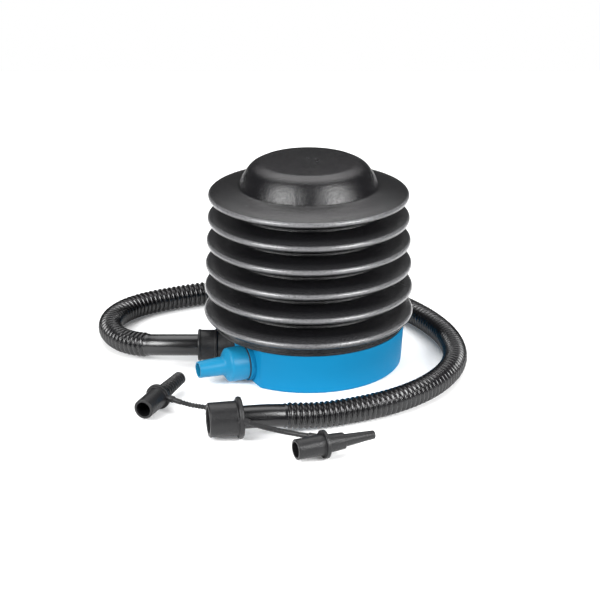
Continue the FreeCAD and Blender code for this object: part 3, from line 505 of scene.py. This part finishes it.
# ------------------------------------------------------------------ shader groups
def grain_group():
    """Fine leather-like grain of a blow-moulding: a height and a mask of its pits."""
    group, t, start, end = new_group("Leather grain", "ShaderNodeTree", [
        float_socket("Cell Scale", 900.0), float_socket("Fine Scale", 2600.0),
        float_socket("Fine Share", 0.4),
    ], [("Height", "NodeSocketFloat"), ("Pits", "NodeSocketFloat")])
    i = start.outputs
    place = t.add("ShaderNodeTexCoord").outputs["Object"]
    warp = t.add("ShaderNodeTexNoise", {"Vector": place, "Scale": 420.0, "Detail": 2.0})
    shift = t.add(
        "ShaderNodeVectorMath", {0: warp.outputs["Color"], 1: (0.0006, 0.0006, 0.0006)}, operation="MULTIPLY"
    )
    moved = t.add("ShaderNodeVectorMath", {0: place, 1: shift.outputs["Vector"]}, operation="ADD")
    cells = t.add(
        "ShaderNodeTexVoronoi", {"Vector": moved.outputs["Vector"], "Scale": i["Cell Scale"]}, feature="F1"
    )
    fine = t.add("ShaderNodeTexNoise", {
        "Vector": place, "Scale": i["Fine Scale"], "Detail": 3.0, "Roughness": 0.6,
    })
    rough = t.math("MULTIPLY", fine.outputs["Fac"], i["Fine Share"])
    height = t.math("ADD", cells.outputs["Distance"], rough)
    t.feed(end.inputs["Height"], height)
    t.feed(end.inputs["Pits"], t.ramp(cells.outputs["Distance"], 0.15, 0.55))
    return group


def drift_group():
    """Slow change of a moulded colour, with a lighter worn edge and a little dust on top."""
    group, t, start, end = new_group("Moulded colour", "ShaderNodeTree", [
        ("Colour", "NodeSocketColor", (0.5, 0.5, 0.5, 1.0)),
        ("Worn", "NodeSocketColor", (0.8, 0.8, 0.8, 1.0)),
        float_socket("Drift", 0.1), float_socket("Wear", 0.2), float_socket("Dust", 0.1),
    ], [("Colour", "NodeSocketColor"), ("Dust Mask", "NodeSocketFloat")])
    i = start.outputs
    place = t.add("ShaderNodeTexCoord").outputs["Object"]
    geometry = t.add("ShaderNodeNewGeometry")
    slow = t.add("ShaderNodeTexNoise", {"Vector": place, "Scale": 38.0, "Detail": 3.0})
    shade = t.math("ADD", 1.0, t.math("MULTIPLY", t.math("SUBTRACT", slow.outputs["Fac"], 0.5), i["Drift"]))
    tinted = t.add("ShaderNodeVectorMath", {0: i["Colour"], "Scale": shade}, operation="SCALE")
    patches = t.add("ShaderNodeTexNoise", {"Vector": place, "Scale": 260.0, "Detail": 4.0})
    edge = t.ramp(geometry.outputs["Pointiness"], 0.53, 0.62)
    worn = t.math("MULTIPLY", t.math("MULTIPLY", edge, t.ramp(patches.outputs["Fac"], 0.4, 0.65)), i["Wear"])
    mixed = t.add("ShaderNodeMix", data_type="RGBA")
    t.feed(mixed.inputs["Factor"], worn)
    t.feed(mixed.inputs["A"], tinted.outputs["Vector"])
    t.feed(mixed.inputs["B"], i["Worn"])
    upward = t.add("ShaderNodeSeparateXYZ", {"Vector": geometry.outputs["Normal"]}).outputs["Z"]
    specks = t.add("ShaderNodeTexNoise", {"Vector": place, "Scale": 900.0, "Detail": 4.0, "Roughness": 0.7})
    lying = t.math("MULTIPLY", t.ramp(upward, 0.3, 1.0), t.ramp(specks.outputs["Fac"], 0.52, 0.72))
    dust = t.math("MULTIPLY", lying, i["Dust"], clamp=True)
    dusty = t.add("ShaderNodeMix", data_type="RGBA")
    t.feed(dusty.inputs["Factor"], dust)
    t.feed(dusty.inputs["A"], mixed.outputs["Result"])
    dusty.inputs["B"].default_value = (0.42, 0.40, 0.37, 1.0)
    t.feed(end.inputs["Colour"], dusty.outputs["Result"])
    t.feed(end.inputs["Dust Mask"], dust)
    return group


def handling_group():
    """Scuffs and finger marks that change how rough a surface is."""
    group, t, start, end = new_group("Handling marks", "ShaderNodeTree", [
        float_socket("Roughness", 0.4), float_socket("Spread", 0.1), float_socket("Scale", 60.0),
    ], [("Roughness", "NodeSocketFloat"), ("Scratches", "NodeSocketFloat")])
    i = start.outputs
    place = t.add("ShaderNodeTexCoord").outputs["Object"]
    blotch = t.add("ShaderNodeTexNoise", {
        "Vector": place, "Scale": i["Scale"], "Detail": 5.0, "Roughness": 0.6,
    })
    swing = t.math("MULTIPLY", t.math("SUBTRACT", blotch.outputs["Fac"], 0.5), i["Spread"])
    streaks = t.add("ShaderNodeMapping", {"Vector": place, "Scale": (900.0, 70.0, 300.0)})
    lines = t.add("ShaderNodeTexNoise", {"Vector": streaks.outputs["Vector"], "Scale": 1.0, "Detail": 2.0})
    t.feed(end.inputs["Roughness"], t.math("ADD", i["Roughness"], swing, clamp=True))
    t.feed(end.inputs["Scratches"], t.ramp(lines.outputs["Fac"], 0.62, 0.72))
    return group


def shader_groups():
    """The three shared groups, built once."""
    made = {}
    for name, build in (("Leather grain", grain_group), ("Moulded colour", drift_group),
                        ("Handling marks", handling_group)):
        made[name] = bpy.data.node_groups.get(name) or build()
    return made


def moulded(name, colour, roughness, grain=0.0, cells=900.0, fine=2600.0, drift=0.12, wear=0.15, dust=0.05,
            worn=(0.10, 0.10, 0.10, 1.0), spread=0.12, specular=0.5, coat_roughness=0.2,
            metallic=0.0, highlight_colour=None):
    """Moulded plastic, rubber or plated metal from the shared groups; highlight_colour is a lighter grey
    painted as a highlight round each lip.
    """
    known = bpy.data.materials.get(name)
    if known:
        return known
    groups = shader_groups()
    material = bpy.data.materials.new(name)
    material.use_nodes = True
    t = Tree(material.node_tree)
    shader = material.node_tree.nodes["Principled BSDF"]
    base = t.add("ShaderNodeGroup", node_tree=groups["Moulded colour"])
    base.inputs["Colour"].default_value = colour
    base.inputs["Worn"].default_value = worn
    base.inputs["Drift"].default_value = drift
    base.inputs["Wear"].default_value = wear
    base.inputs["Dust"].default_value = dust
    marks = t.add("ShaderNodeGroup", node_tree=groups["Handling marks"])
    marks.inputs["Roughness"].default_value = roughness
    marks.inputs["Spread"].default_value = spread
    pits = t.add("ShaderNodeGroup", node_tree=groups["Leather grain"])
    pits.inputs["Cell Scale"].default_value = cells
    pits.inputs["Fine Scale"].default_value = fine
    t.feed(shader.inputs["Base Color"], base.outputs["Colour"])
    chalk = t.math("MULTIPLY", base.outputs["Dust Mask"], 0.4)
    dull = t.math("ADD", marks.outputs["Roughness"], chalk, clamp=True)
    t.feed(shader.inputs["Roughness"], dull)
    # Painted highlight: a lighter grey is mixed into the colour round each lip's crown and speckled by the
    # grain's pits; the same mask adds a clear coat.
    if highlight_colour:
        lip_highlight = t.add("ShaderNodeAttribute", attribute_name="lip_highlight").outputs["Fac"]
        highlight_speckle = t.math("ADD", 0.25, pits.outputs["Pits"])
        edge = t.add("ShaderNodeMix", data_type="RGBA")
        t.feed(edge.inputs["Factor"], t.math("MULTIPLY", lip_highlight, highlight_speckle))
        t.feed(edge.inputs["A"], base.outputs["Colour"])
        edge.inputs["B"].default_value = highlight_colour
        t.feed(shader.inputs["Base Color"], edge.outputs["Result"])
        t.feed(shader.inputs["Coat Weight"], t.math("MULTIPLY", lip_highlight, 0.9))
    scratches = t.math("MULTIPLY", marks.outputs["Scratches"], 0.04)
    scratched = t.math("SUBTRACT", pits.outputs["Height"], scratches)
    bump = t.add("ShaderNodeBump", {"Height": scratched, "Strength": 1.0, "Distance": grain})
    t.feed(shader.inputs["Normal"], bump.outputs["Normal"])
    shader.inputs["Specular IOR Level"].default_value = specular
    shader.inputs["Metallic"].default_value = metallic
    shader.inputs["Coat Roughness"].default_value = coat_roughness
    return material


def bellows_black(colours):
    # The lighter grey given for the lips is a painted highlight.
    return moulded("bellows black", colours.bellows, 0.25, grain=0.00017, cells=1050.0, fine=2200.0,
                   wear=0.04, dust=0.01, highlight_colour=(0.12, 0.12, 0.125, 1.0), coat_roughness=0.25)


def hose_black(colours):
    return moulded("hose black", colours.hose, 0.26, grain=0.00003, cells=1500.0, wear=0.05, dust=0.01,
                   specular=0.6)


def tip_black(colours):
    return moulded("tip black", colours.tips, 0.42, grain=0.00012, cells=900.0, wear=0.6, dust=0.01,
                   spread=0.3, specular=0.38)


def base_blue(colours):
    return moulded("base blue", colours.base, 0.50, grain=0.00002, cells=1700.0, drift=0.05, wear=0.0,
                   dust=0.0, spread=0.08, specular=0.08)


def nozzle_blue(colours):
    return moulded("nozzle blue", colours.nozzle, 0.38, grain=0.00001, cells=1700.0, drift=0.05, wear=0.0,
                   dust=0.0, spread=0.08, specular=0.22)


def inner_black(colours):
    return moulded("inner black", colours.bellows, 0.5, grain=0.00004, cells=1500.0)


def seat_white():
    return moulded("seat white", (0.72, 0.71, 0.68, 1.0), 0.4, grain=0.00002, worn=(0.8, 0.8, 0.78, 1.0))


def plated_steel():
    return moulded("plated steel", (0.60, 0.61, 0.62, 1.0), 0.28, grain=0.00001, cells=2500.0, drift=0.08,
                   worn=(0.75, 0.75, 0.76, 1.0), metallic=1.0)


def soft_rubber():
    return moulded("soft rubber", (0.022, 0.022, 0.022, 1.0), 0.6, grain=0.00003, cells=2000.0, dust=0.1)


# ------------------------------------------------------------------ pieces
def route_curve(name, route):
    """Smooth open curve that has the route's points as its control points."""
    data = bpy.data.curves.new(name, "CURVE")
    data.dimensions = "3D"
    data.resolution_u = 24
    spline = data.splines.new("NURBS")
    spline.points.add(len(route) - 1)
    for point, place in zip(spline.points, route):
        point.co = (*place, 1.0)
    spline.order_u = 3
    spline.use_endpoint_u = True
    obj = bpy.data.objects.new(name, data)
    bpy.context.scene.collection.objects.link(obj)
    bpy.context.view_layer.update()
    return obj


def curve_points(curve):
    """Points of a curve's own line, as Blender evaluates it."""
    graph = bpy.context.evaluated_depsgraph_get()
    mesh = bpy.data.meshes.new_from_object(curve.evaluated_get(graph), depsgraph=graph)
    points = [tuple(v.co) for v in mesh.vertices]
    bpy.data.meshes.remove(mesh)
    return points


def path_length(points):
    """Length along the points."""
    return sum((Vector(b) - Vector(a)).length for a, b in zip(points, points[1:]))


def make_hose(sizes, colours):
    """Corrugated hose with plain cuffs, from the coupling to the tip."""
    curve = route_curve("hose_corrugated", HOSE_ROUTE)
    line = curve_points(curve)
    tree = bpy.data.node_groups.get("Ribbed tube") or ribbed_tube_tree()
    material = hose_black(colours)
    hose = applied(curve, tree, {
        "Outer Radius": sizes.hose_outer, "Groove Depth": sizes.hose_groove, "Pitch": sizes.hose_pitch,
        "Plain Radius": sizes.cuff_radius, "Plain Start": sizes.rear_cuff, "Plain End": sizes.front_cuff,
        "Crest Width": CREST_WIDTH, "Step": sizes.hose_pitch / 8, "Sides": 40, "Material": material,
    })
    attach(hose, material, "hose_set", "hose_black", "hose")
    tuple(HOSE_ROUTE[0])
    path_length(line)
    return hose


def make_tether(name, route, sizes, colours, node, notch):
    """Moulded tether, notched all the way along where notch is its depth."""
    curve = route_curve(name, route)
    line = curve_points(curve)
    tree = bpy.data.node_groups.get("Ribbed tube") or ribbed_tube_tree()
    material = tip_black(colours)
    plain = 0.004
    strap = applied(curve, tree, {
        "Outer Radius": sizes.tether_radius, "Groove Depth": notch, "Pitch": 0.0024,
        "Plain Radius": sizes.tether_radius, "Plain Start": plain, "Plain End": plain,
        "Crest Width": CREST_WIDTH, "Step": 0.0003, "Sides": 20, "Material": material,
    })
    attach(strap, material, "tip_set", "tip_black", node)
    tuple(route[0])
    path_length(line)
    return strap


def between_circles(lip, root, lip_r, root_r, upward):
    """Ends of the straight wall that touches a lip and a root circle; upward is from root to lip."""
    across = root - lip
    tilt = math.asin((lip_r + root_r) / across.length)
    angle = math.atan2(across.y, across.x) + (-tilt if upward else tilt)
    along = Vector((math.cos(angle), math.sin(angle)))
    side = Vector((-along.y, along.x))
    if side.dot(across) < 0:
        side = -side
    return lip + side * lip_r, root - side * root_r


def arc_points(centre, radius, first, last, steps, outward):
    """Points from first to last round a centre, on the side that outward names."""
    a0 = math.atan2(first.y - centre.y, first.x - centre.x)
    a1 = math.atan2(last.y - centre.y, last.x - centre.x)
    if not outward:
        a0 = a0 % (2 * math.pi)
        a1 = a1 % (2 * math.pi)
    return [
        (centre.x + radius * math.cos(a0 + (a1 - a0) * k / steps),
         centre.y + radius * math.sin(a0 + (a1 - a0) * k / steps))
        for k in range(steps + 1)
    ]


def bellows_outline(sizes, offset, foot, top, flange_lip):
    """One side of the bellows' wall from the neck up to the tread, offset inwards."""
    lip_r = sizes.lip_round - offset
    root_r = sizes.root_round + offset
    lips = [Vector((r * MM - sizes.lip_round, z * MM)) for z, r in FOLD_LIPS]
    roots = [Vector((NECK_R * MM + sizes.root_round, NECK_ROOT_Z * MM))]
    following = [Vector((r * MM, z * MM)) for z, r in FOLD_LIPS[1:]] + [flange_lip]
    for (z, r), upper in zip(FOLD_LIPS, following):
        middle = (Vector((r * MM, z * MM)) + upper) / 2
        roots.append(Vector((middle.x - sizes.fold_depth + sizes.root_round, middle.y)))
    outline = [(NECK_R * MM - offset, foot)]
    last = Vector((NECK_R * MM - offset, NECK_ROOT_Z * MM))
    for i, lip in enumerate(lips):
        on_lip, on_root = between_circles(lip, roots[i], lip_r, root_r, True)
        outline += arc_points(roots[i], root_r, last, on_root, 8, False)
        up_lip, up_root = between_circles(lip, roots[i + 1], lip_r, root_r, False)
        outline += [tuple(on_lip.lerp(on_root, 0.5))]
        outline += arc_points(lip, lip_r, on_lip, up_lip, 10, True)
        outline += [tuple(up_lip.lerp(up_root, 0.5))]
        last = up_root
    top_lip = Vector((flange_lip.x - sizes.lip_round, flange_lip.y))
    on_lip, on_root = between_circles(top_lip, roots[-1], lip_r, root_r, True)
    outline += arc_points(roots[-1], root_r, last, on_root, 8, False)
    share = (top - on_root.y) / (on_lip.y - on_root.y)
    outline.append(tuple(on_root.lerp(on_lip, share)))
    return outline


def make_bellows(sizes, colours):
    """Folded bellows under the tread."""
    low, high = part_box("bellows")
    dome_low, dome_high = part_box("step_dome")
    flange_lip = Vector((dome_high.x, dome_low.z + sizes.lip_round))
    wall = sizes.bellows_wall
    outer = bellows_outline(sizes, 0.0, low.z, high.z, flange_lip)
    inner = bellows_outline(sizes, wall, low.z + wall, high.z - wall, flange_lip)
    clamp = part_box("clamp_ring")[1].x
    band = outer[-1][0] - 0.009
    foot_bore = clamp - 0.0096
    outline = outer + [(band, high.z), (band, high.z - wall)] + inner[::-1]
    outline += [(foot_bore, low.z + wall), (foot_bore, low.z)]
    bm = bmesh.new()
    lathe_into(bm, closed(outline), sizes.lathe_steps)
    bellows = finish_mesh("bellows_folds", bm)
    # Painted highlight round the upper side of each fold's lip.
    crown = painted_highlight_crown(sizes.lip_round)
    mark_painted_highlight(bellows, [Vector((r * MM, z * MM)) + crown for z, r in FOLD_LIPS], sizes.lip_round)
    attach(bellows, bellows_black(colours), "base", "bellows_black", "bellows")
    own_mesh(bellows)
    return bellows


def make_tread(sizes, colours):
    """Domed tread with its drooping flange and rounded lip."""
    low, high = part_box("step_dome")
    top = high.z
    rim = high.x
    under = low.z
    lip = 0.0020
    lip_z = under + lip
    outline = [(0, top), (0.015, top - 0.00015), (0.0245, top - 0.00035), (0.031, top - 0.0005)]
    outline += rounded([
        (0.0310, top - 0.0005, 0), (0.0332, top - 0.0006, 0.004), (0.0398, top - 0.0037, 0.012),
        (0.0443, top - 0.0104, 0),
    ], 10)[1:]
    outline += rounded([
        (0.0443, top - 0.0104, 0), (0.0474, top - 0.0171, 0.0024), (0.0560, top - 0.0187, 0),
    ], 8)[1:]
    outline += [(0.0598, top - 0.0194), (0.0630, top - 0.0203), (rim - lip, lip_z + lip)]
    outline += arc_points(Vector((rim - lip, lip_z)), lip, Vector((rim - lip, lip_z + lip)),
                          Vector((rim - lip, under)), 12, True)[1:]
    outline += [
        (0.0510, under), (0.0510, top - 0.0221), (0.0450, top - 0.0187), (0.0416, top - 0.0111),
        (0.0290, top - 0.0031), (0, top - 0.0031),
    ]
    bm = bmesh.new()
    lathe_into(bm, outline, sizes.lathe_steps)
    tread = finish_mesh("tread_dome", bm)
    # Painted highlight round the upper side of the flange's lip.
    mark_painted_highlight(tread, [Vector((rim, lip_z)) + painted_highlight_crown(lip)], lip)
    return attach(tread, bellows_black(colours), "tread", "bellows_black", "step_dome")


def make_spring(sizes):
    """Return spring between its two cups."""
    low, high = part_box("return_spring")
    wire = 0.0013
    seed = bpy.data.objects.new("return_spring_wire", bpy.data.meshes.new("return_spring_wire"))
    bpy.context.scene.collection.objects.link(seed)
    material = plated_steel()
    spring = applied(seed, coil_spring_tree(), {
        "Turns": float(sizes.spring_turns), "Radius": 0.0235, "Height": high.z - low.z - 2 * wire,
        "Wire Radius": wire, "Foot Height": low.z + wire, "Material": material,
    })
    attach(spring, material, "base", "steel", "return_spring")
    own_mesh(spring)
    return spring


def make_deflate_nozzle(colours):
    """Open spigot on its wide collar, with the dark gasket at its seam."""
    place, out = mount("deflate_spigot")
    spigot = 0.0056
    bore = 0.0042
    collar = 0.0116
    tip = 0.0340
    gasket = 0.0009
    gasket_bore = 0.0090
    gasket_rim = collar - 0.0001
    seam = place - out * 0.0253
    outline = rounded([
        (bore, -0.008, 0), (0.0083, -0.008, 0.0005), (0.0083, gasket, 0), (collar, gasket, 0.0005),
        (collar, 0.0130, 0.0024), (spigot + 0.0008, 0.0164, 0.0018),
        (spigot, tip, 0.0004), (bore + 0.0003, tip, 0.0003), (bore, tip - 0.0022, 0),
    ], 8)
    bm = bmesh.new()
    lathe_into(bm, closed(outline), PORT_STEPS, facing(seam, out))
    nozzle = finish_mesh("deflate_spigot", bm)
    attach(nozzle, nozzle_blue(colours), "base", "blue_nozzle", "deflate_nozzle")
    ring = bmesh.new()
    lathe_into(ring, closed(rounded([
        (gasket_bore, 0.0, 0), (gasket_rim, 0.0, 0.0002), (gasket_rim, gasket, 0.0002),
        (gasket_bore, gasket, 0),
    ], 3)), PORT_STEPS, facing(seam, out))
    return attach(finish_mesh("deflate_gasket", ring), soft_rubber(), "base", "valve_rubber")


def make_coupling(colours):
    """Coupling that pushes onto the inflate port, with a shallow bead at each end."""
    low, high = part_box("hose_coupling")
    centre = (low + high) / 2
    start = Vector((high.x, centre.y, centre.z))
    length = high.x - low.x
    body = 0.0105
    bead = (high.z - low.z) / 2
    bore = 0.00658
    outline = rounded([
        (bore, 0.0, 0), (bead, 0.0, 0.0005), (bead, 0.0017, 0.0005), (body, 0.0022, 0.0004),
        (body, length - 0.0020, 0.0003), (bead - 0.0002, length - 0.0016, 0.0004),
        (bead - 0.0002, length, 0.0008), (0.0045, length, 0), (0.0045, length - 0.0025, 0),
        (bore, length - 0.0025, 0),
    ], 6)
    bm = bmesh.new()
    lathe_into(bm, closed(outline), PORT_STEPS, facing(start, Vector((-1, 0, 0))))
    coupling = finish_mesh("hose_coupling_body", bm)
    return attach(coupling, tip_black(colours), "hose_set", "hose_black", "hose_coupling")


def lug_into(bm, route_start, route_next):
    """Short round lug that a tether grows from."""
    start = Vector(route_start)
    out = (Vector(route_next) - start).normalized()
    outline = rounded([
        (0, -0.0076, 0), (0.0023, -0.0076, 0), (0.0023, -0.0008, 0.0012), (0.0017, 0.0, 0), (0, 0, 0),
    ], 6)
    lathe_into(bm, outline, LUG_STEPS, facing(start, out))


def make_tip(colours):
    """Large tip with its open mouth and the flange that the hose ends in."""
    out = mount("tip_socket")[1]
    base = Vector(HOSE_ROUTE[-1])
    length = 0.0215
    flange = 0.0135
    body = 0.0111
    bore = 0.00648
    bore_end = 0.0098
    mouth_end = 0.0115
    throat = 0.0040
    outline = rounded([
        (bore, 0.0, 0), (flange - 0.0004, 0.0, 0.0008), (flange, 0.0016, 0.0008),
        (flange - 0.0005, 0.0030, 0.0009), (body - 0.0001, 0.0036, 0.0010), (body, length, 0.0011),
        (0.0082, length, 0.0006), (0.0080, mouth_end, 0), (throat, mouth_end, 0.0004),
        (throat, bore_end, 0), (bore, bore_end, 0),
    ], 6)
    bm = bmesh.new()
    lathe_into(bm, closed(outline), PORT_STEPS, facing(base, out))
    lug_into(bm, RIB_TETHER_ROUTE[0], RIB_TETHER_ROUTE[1])
    lug_into(bm, CONE_TETHER_ROUTE[0], CONE_TETHER_ROUTE[1])
    tip = finish_mesh("tip_large", bm)
    return attach(tip, tip_black(colours), "tip_set", "tip_black", "tip_adapter")


def socket_face(name):
    """Mouth centre of a small tip and the direction from there to its nose."""
    place, out = mount(name)
    return place + out * (SOCKET_DEPTH / 2), -out


def make_cone_tip(colours):
    """Small tip with a two-step cone."""
    face, out = socket_face("cone_socket")
    outline = rounded([
        (SOCKET_R, 0.0, 0), (0.0065, 0.0, 0.0007), (0.0066, 0.0179, 0.0005), (0.0090, 0.0179, 0.0005),
        (0.0090, 0.0204, 0.0006), (0.0060, 0.0206, 0.0006), (0.00525, 0.0324, 0.0006),
        (0.00405, 0.0325, 0.0004), (0.00275, 0.0534, 0.0008), (0.0015, 0.0534, 0.0002),
        (0.0015, SOCKET_DEPTH, 0), (SOCKET_R, SOCKET_DEPTH, 0),
    ], 6)
    bm = bmesh.new()
    lathe_into(bm, closed(outline), SMALL_TIP_STEPS, facing(face, out))
    lug_into(bm, CONE_TETHER_ROUTE[-1], CONE_TETHER_ROUTE[-2])
    tip = finish_mesh("tip_cone", bm)
    return attach(tip, tip_black(colours), "tip_set", "tip_black", "cone_adapter")


def make_rib_tip(colours):
    """Small tip whose solid stem carries a stack of rings."""
    face, out = socket_face("rib_socket")
    flange = 0.0205
    stem = 0.0230
    end = 0.0555
    outline = rounded([
        (SOCKET_R, 0.0, 0), (0.0066, 0.0, 0.0007), (0.0067, flange, 0.0005), (0.0085, flange, 0.0005),
        (0.0085, stem, 0.0006), (0.0040, stem, 0.0003), (0.0034, end - 0.0004, 0.0016), (0, end, 0),
    ], 8)
    outline += [(0, SOCKET_DEPTH), (SOCKET_R, SOCKET_DEPTH), (SOCKET_R, 0.0)]
    ring = bmesh.new()
    crest = 0.0053
    root = 0.0040
    lathe_into(ring, closed(rounded([
        (root - 0.0012, -0.0011, 0), (root, -0.0010, 0), (crest, -0.0005, 0.0004),
        (crest, 0.0005, 0.0004), (root, 0.0010, 0), (root - 0.0012, 0.0011, 0),
    ], 4)), RING_STEPS)
    rings = applied(finish_mesh("tip_rings", ring), stacked_rings_tree(), {
        "Count": 11, "Pitch": 0.0029, "First": stem + 0.0015, "Last Scale": 0.84,
        "Material": tip_black(colours),
    })
    bm = bmesh.new()
    bm.from_mesh(rings.data)
    bpy.data.objects.remove(rings)
    lathe_into(bm, outline, SMALL_TIP_STEPS)
    bmesh.ops.transform(bm, matrix=facing(face, out), verts=bm.verts)
    lug_into(bm, RIB_TETHER_ROUTE[-1], RIB_TETHER_ROUTE[-2])
    tip = finish_mesh("tip_ribbed", bm)
    return attach(tip, tip_black(colours), "tip_set", "tip_black", "rib_adapter")


def paint(material, *names):
    """Give carried-over CAD nodes a material."""
    for name in names:
        mesh = frame["nodes"][name].data
        mesh.materials.clear()
        mesh.materials.append(material)


def studio_light(name, azimuth, height, width, depth, radiance):
    """Soft box on a sphere round the pump; its angles and its two spans are in degrees."""
    turn = math.radians(azimuth)
    lift = math.radians(height)
    out = Vector((math.sin(turn) * math.cos(lift), -math.cos(turn) * math.cos(lift), math.sin(lift)))
    data = bpy.data.lights.new(name, "AREA")
    data.shape = "RECTANGLE"
    data.size = 2 * LIGHT_DISTANCE * math.tan(math.radians(width / 2))
    data.size_y = 2 * LIGHT_DISTANCE * math.tan(math.radians(depth / 2))
    data.energy = radiance * math.pi * data.size * data.size_y
    lamp = bpy.data.objects.new(name, data)
    lamp.location = STUDIO_MIDDLE + out * LIGHT_DISTANCE
    lamp.rotation_euler = (-out).to_track_quat("-Z", "Y").to_euler()
    bpy.context.scene.collection.objects.link(lamp)


def studio_world():
    """White behind everything, but dim where the pump mirrors it."""
    world = bpy.data.worlds.new("studio")
    world.use_nodes = True
    t = Tree(world.node_tree)
    seen = t.add("ShaderNodeLightPath").outputs["Is Camera Ray"]
    background = world.node_tree.nodes["Background"]
    background.inputs["Color"].default_value = (1, 1, 1, 1)
    t.feed(background.inputs["Strength"], t.ramp(seen, 0.0, 1.0, MIRRORED_WORLD, 1.0))
    return world


def make_stage(colours):
    """Pale floor, soft studio light and the camera."""
    scene = bpy.context.scene
    bm = bmesh.new()
    bmesh.ops.create_grid(bm, x_segments=1, y_segments=1, size=FLOOR_HALF)
    floor = finish_mesh("studio_floor", bm, smooth=False)
    material = bpy.data.materials.new("floor paint")
    material.use_nodes = True
    t = Tree(material.node_tree)
    shader = material.node_tree.nodes["Principled BSDF"]
    place = t.add("ShaderNodeTexCoord").outputs["Object"]
    noise = t.add("ShaderNodeTexNoise", {"Vector": place, "Scale": 3.0})
    t.feed(shader.inputs["Roughness"], t.ramp(noise.outputs["Fac"], 0.3, 0.7, 0.85, 0.95))
    shader.inputs["Base Color"].default_value = colours.floor
    shader.inputs["Emission Color"].default_value = (1, 1, 1, 1)
    shader.inputs["Emission Strength"].default_value = FLOOR_GLOW
    floor.data.materials.append(material)
    camera_data = bpy.data.cameras.new("camera")
    camera_data.sensor_width = CAMERA_SENSOR
    camera_data.lens = CAMERA_LENS
    camera = bpy.data.objects.new("camera", camera_data)
    back = Vector((0, -math.cos(CAMERA_ELEVATION), math.sin(CAMERA_ELEVATION)))
    camera.location = CAMERA_TARGET + back * CAMERA_DISTANCE
    camera.rotation_euler = (math.pi / 2 - CAMERA_ELEVATION, 0, 0)
    scene.collection.objects.link(camera)
    scene.camera = camera
    scene.world = studio_world()
    scene.view_settings.view_transform = "Standard"
    for light in STUDIO_LIGHTS:
        studio_light(*light)


# ------------------------------------------------------------------ operators
class PumpOperator:
    """What every operator of the pump shares"""

    bl_options = {"REGISTER", "UNDO"}

    def execute(self, context):
        self.build(context.scene.pump_sizes, context.scene.pump_colours)
        return {"FINISHED"}


class PUMP_OT_stage(PumpOperator, bpy.types.Operator):
    """Add the floor, the lights and the camera"""

    bl_idname = "pump.stage"
    bl_label = "Stage"

    def build(self, sizes, colours):
        make_stage(colours)


class PUMP_OT_hose(PumpOperator, bpy.types.Operator):
    """Add the corrugated hose and its coupling"""

    bl_idname = "pump.hose"
    bl_label = "Hose"

    def build(self, sizes, colours):
        make_coupling(colours)
        make_hose(sizes, colours)


class PUMP_OT_tips(PumpOperator, bpy.types.Operator):
    """Add the three valve tips and their tethers"""

    bl_idname = "pump.tips"
    bl_label = "Tips"

    def build(self, sizes, colours):
        make_tip(colours)
        rib = make_rib_tip(colours)
        cone = make_cone_tip(colours)
        make_tether("tether_to_ribbed", RIB_TETHER_ROUTE, sizes, colours, "tether_rib", 0.0006)
        make_tether("tether_to_cone", CONE_TETHER_ROUTE, sizes, colours, "tether_cone", 0.0001)


class PUMP_OT_bellows(PumpOperator, bpy.types.Operator):
    """Add the folded bellows, the tread and the return spring"""

    bl_idname = "pump.bellows"
    bl_label = "Bellows and tread"

    def build(self, sizes, colours):
        make_bellows(sizes, colours)
        make_tread(sizes, colours)
        make_spring(sizes)


class PUMP_OT_ports(PumpOperator, bpy.types.Operator):
    """Add the deflate spigot"""

    bl_idname = "pump.ports"
    bl_label = "Ports"

    def build(self, sizes, colours):
        make_deflate_nozzle(colours)


class PUMP_OT_paint(PumpOperator, bpy.types.Operator):
    """Paint the CAD pieces that stay as they are"""

    bl_idname = "pump.paint"
    bl_label = "Painted pieces"

    def build(self, sizes, colours):
        paint(base_blue(colours), "base_shell")
        paint(nozzle_blue(colours), "inflate_nozzle")
        paint(inner_black(colours), "base_plate", "intake_duct", "exhaust_duct", "seat_ring", "clamp_ring",
              "spring_base_cup", "spring_top_cup", "hose_barb", "port_sleeve")
        paint(plated_steel(), "base_screws", "ring_screws", "intake_pin", "exhaust_pin")
        paint(soft_rubber(), "intake_flap", "exhaust_flap", "deflate_oring", "coupling_seal")
        paint(seat_white(), "intake_seat", "exhaust_seat")


class PUMP_PT_sidebar(bpy.types.Panel):
    """Lists the pump's pieces and settings"""

    bl_idname = "PUMP_PT_sidebar"
    bl_label = "Foot pump"
    bl_space_type = "VIEW_3D"
    bl_region_type = "UI"
    bl_category = "Pump"

    def draw(self, context):
        for operator in OPERATORS:
            self.layout.operator(operator.bl_idname)
        for settings in (context.scene.pump_sizes, context.scene.pump_colours):
            box = self.layout.box()
            for key in settings.__annotations__:
                box.prop(settings, key)


OPERATORS = (PUMP_OT_stage, PUMP_OT_hose, PUMP_OT_tips, PUMP_OT_bellows, PUMP_OT_ports, PUMP_OT_paint)
CLASSES = (PumpSizes, PumpColours) + OPERATORS + (PUMP_PT_sidebar,)


def register():
    for cls in CLASSES:
        bpy.utils.register_class(cls)
    bpy.types.Scene.pump_sizes = PointerProperty(type=PumpSizes)
    bpy.types.Scene.pump_colours = PointerProperty(type=PumpColours)


def unregister():
    del bpy.types.Scene.pump_colours
    del bpy.types.Scene.pump_sizes
    for cls in reversed(CLASSES):
        bpy.utils.unregister_class(cls)


def main():
    register()
    for operator in (bpy.ops.pump.stage, bpy.ops.pump.hose, bpy.ops.pump.tips, bpy.ops.pump.bellows,
                     bpy.ops.pump.ports, bpy.ops.pump.paint):
        operator()


if __name__ == "__main__":
    main()
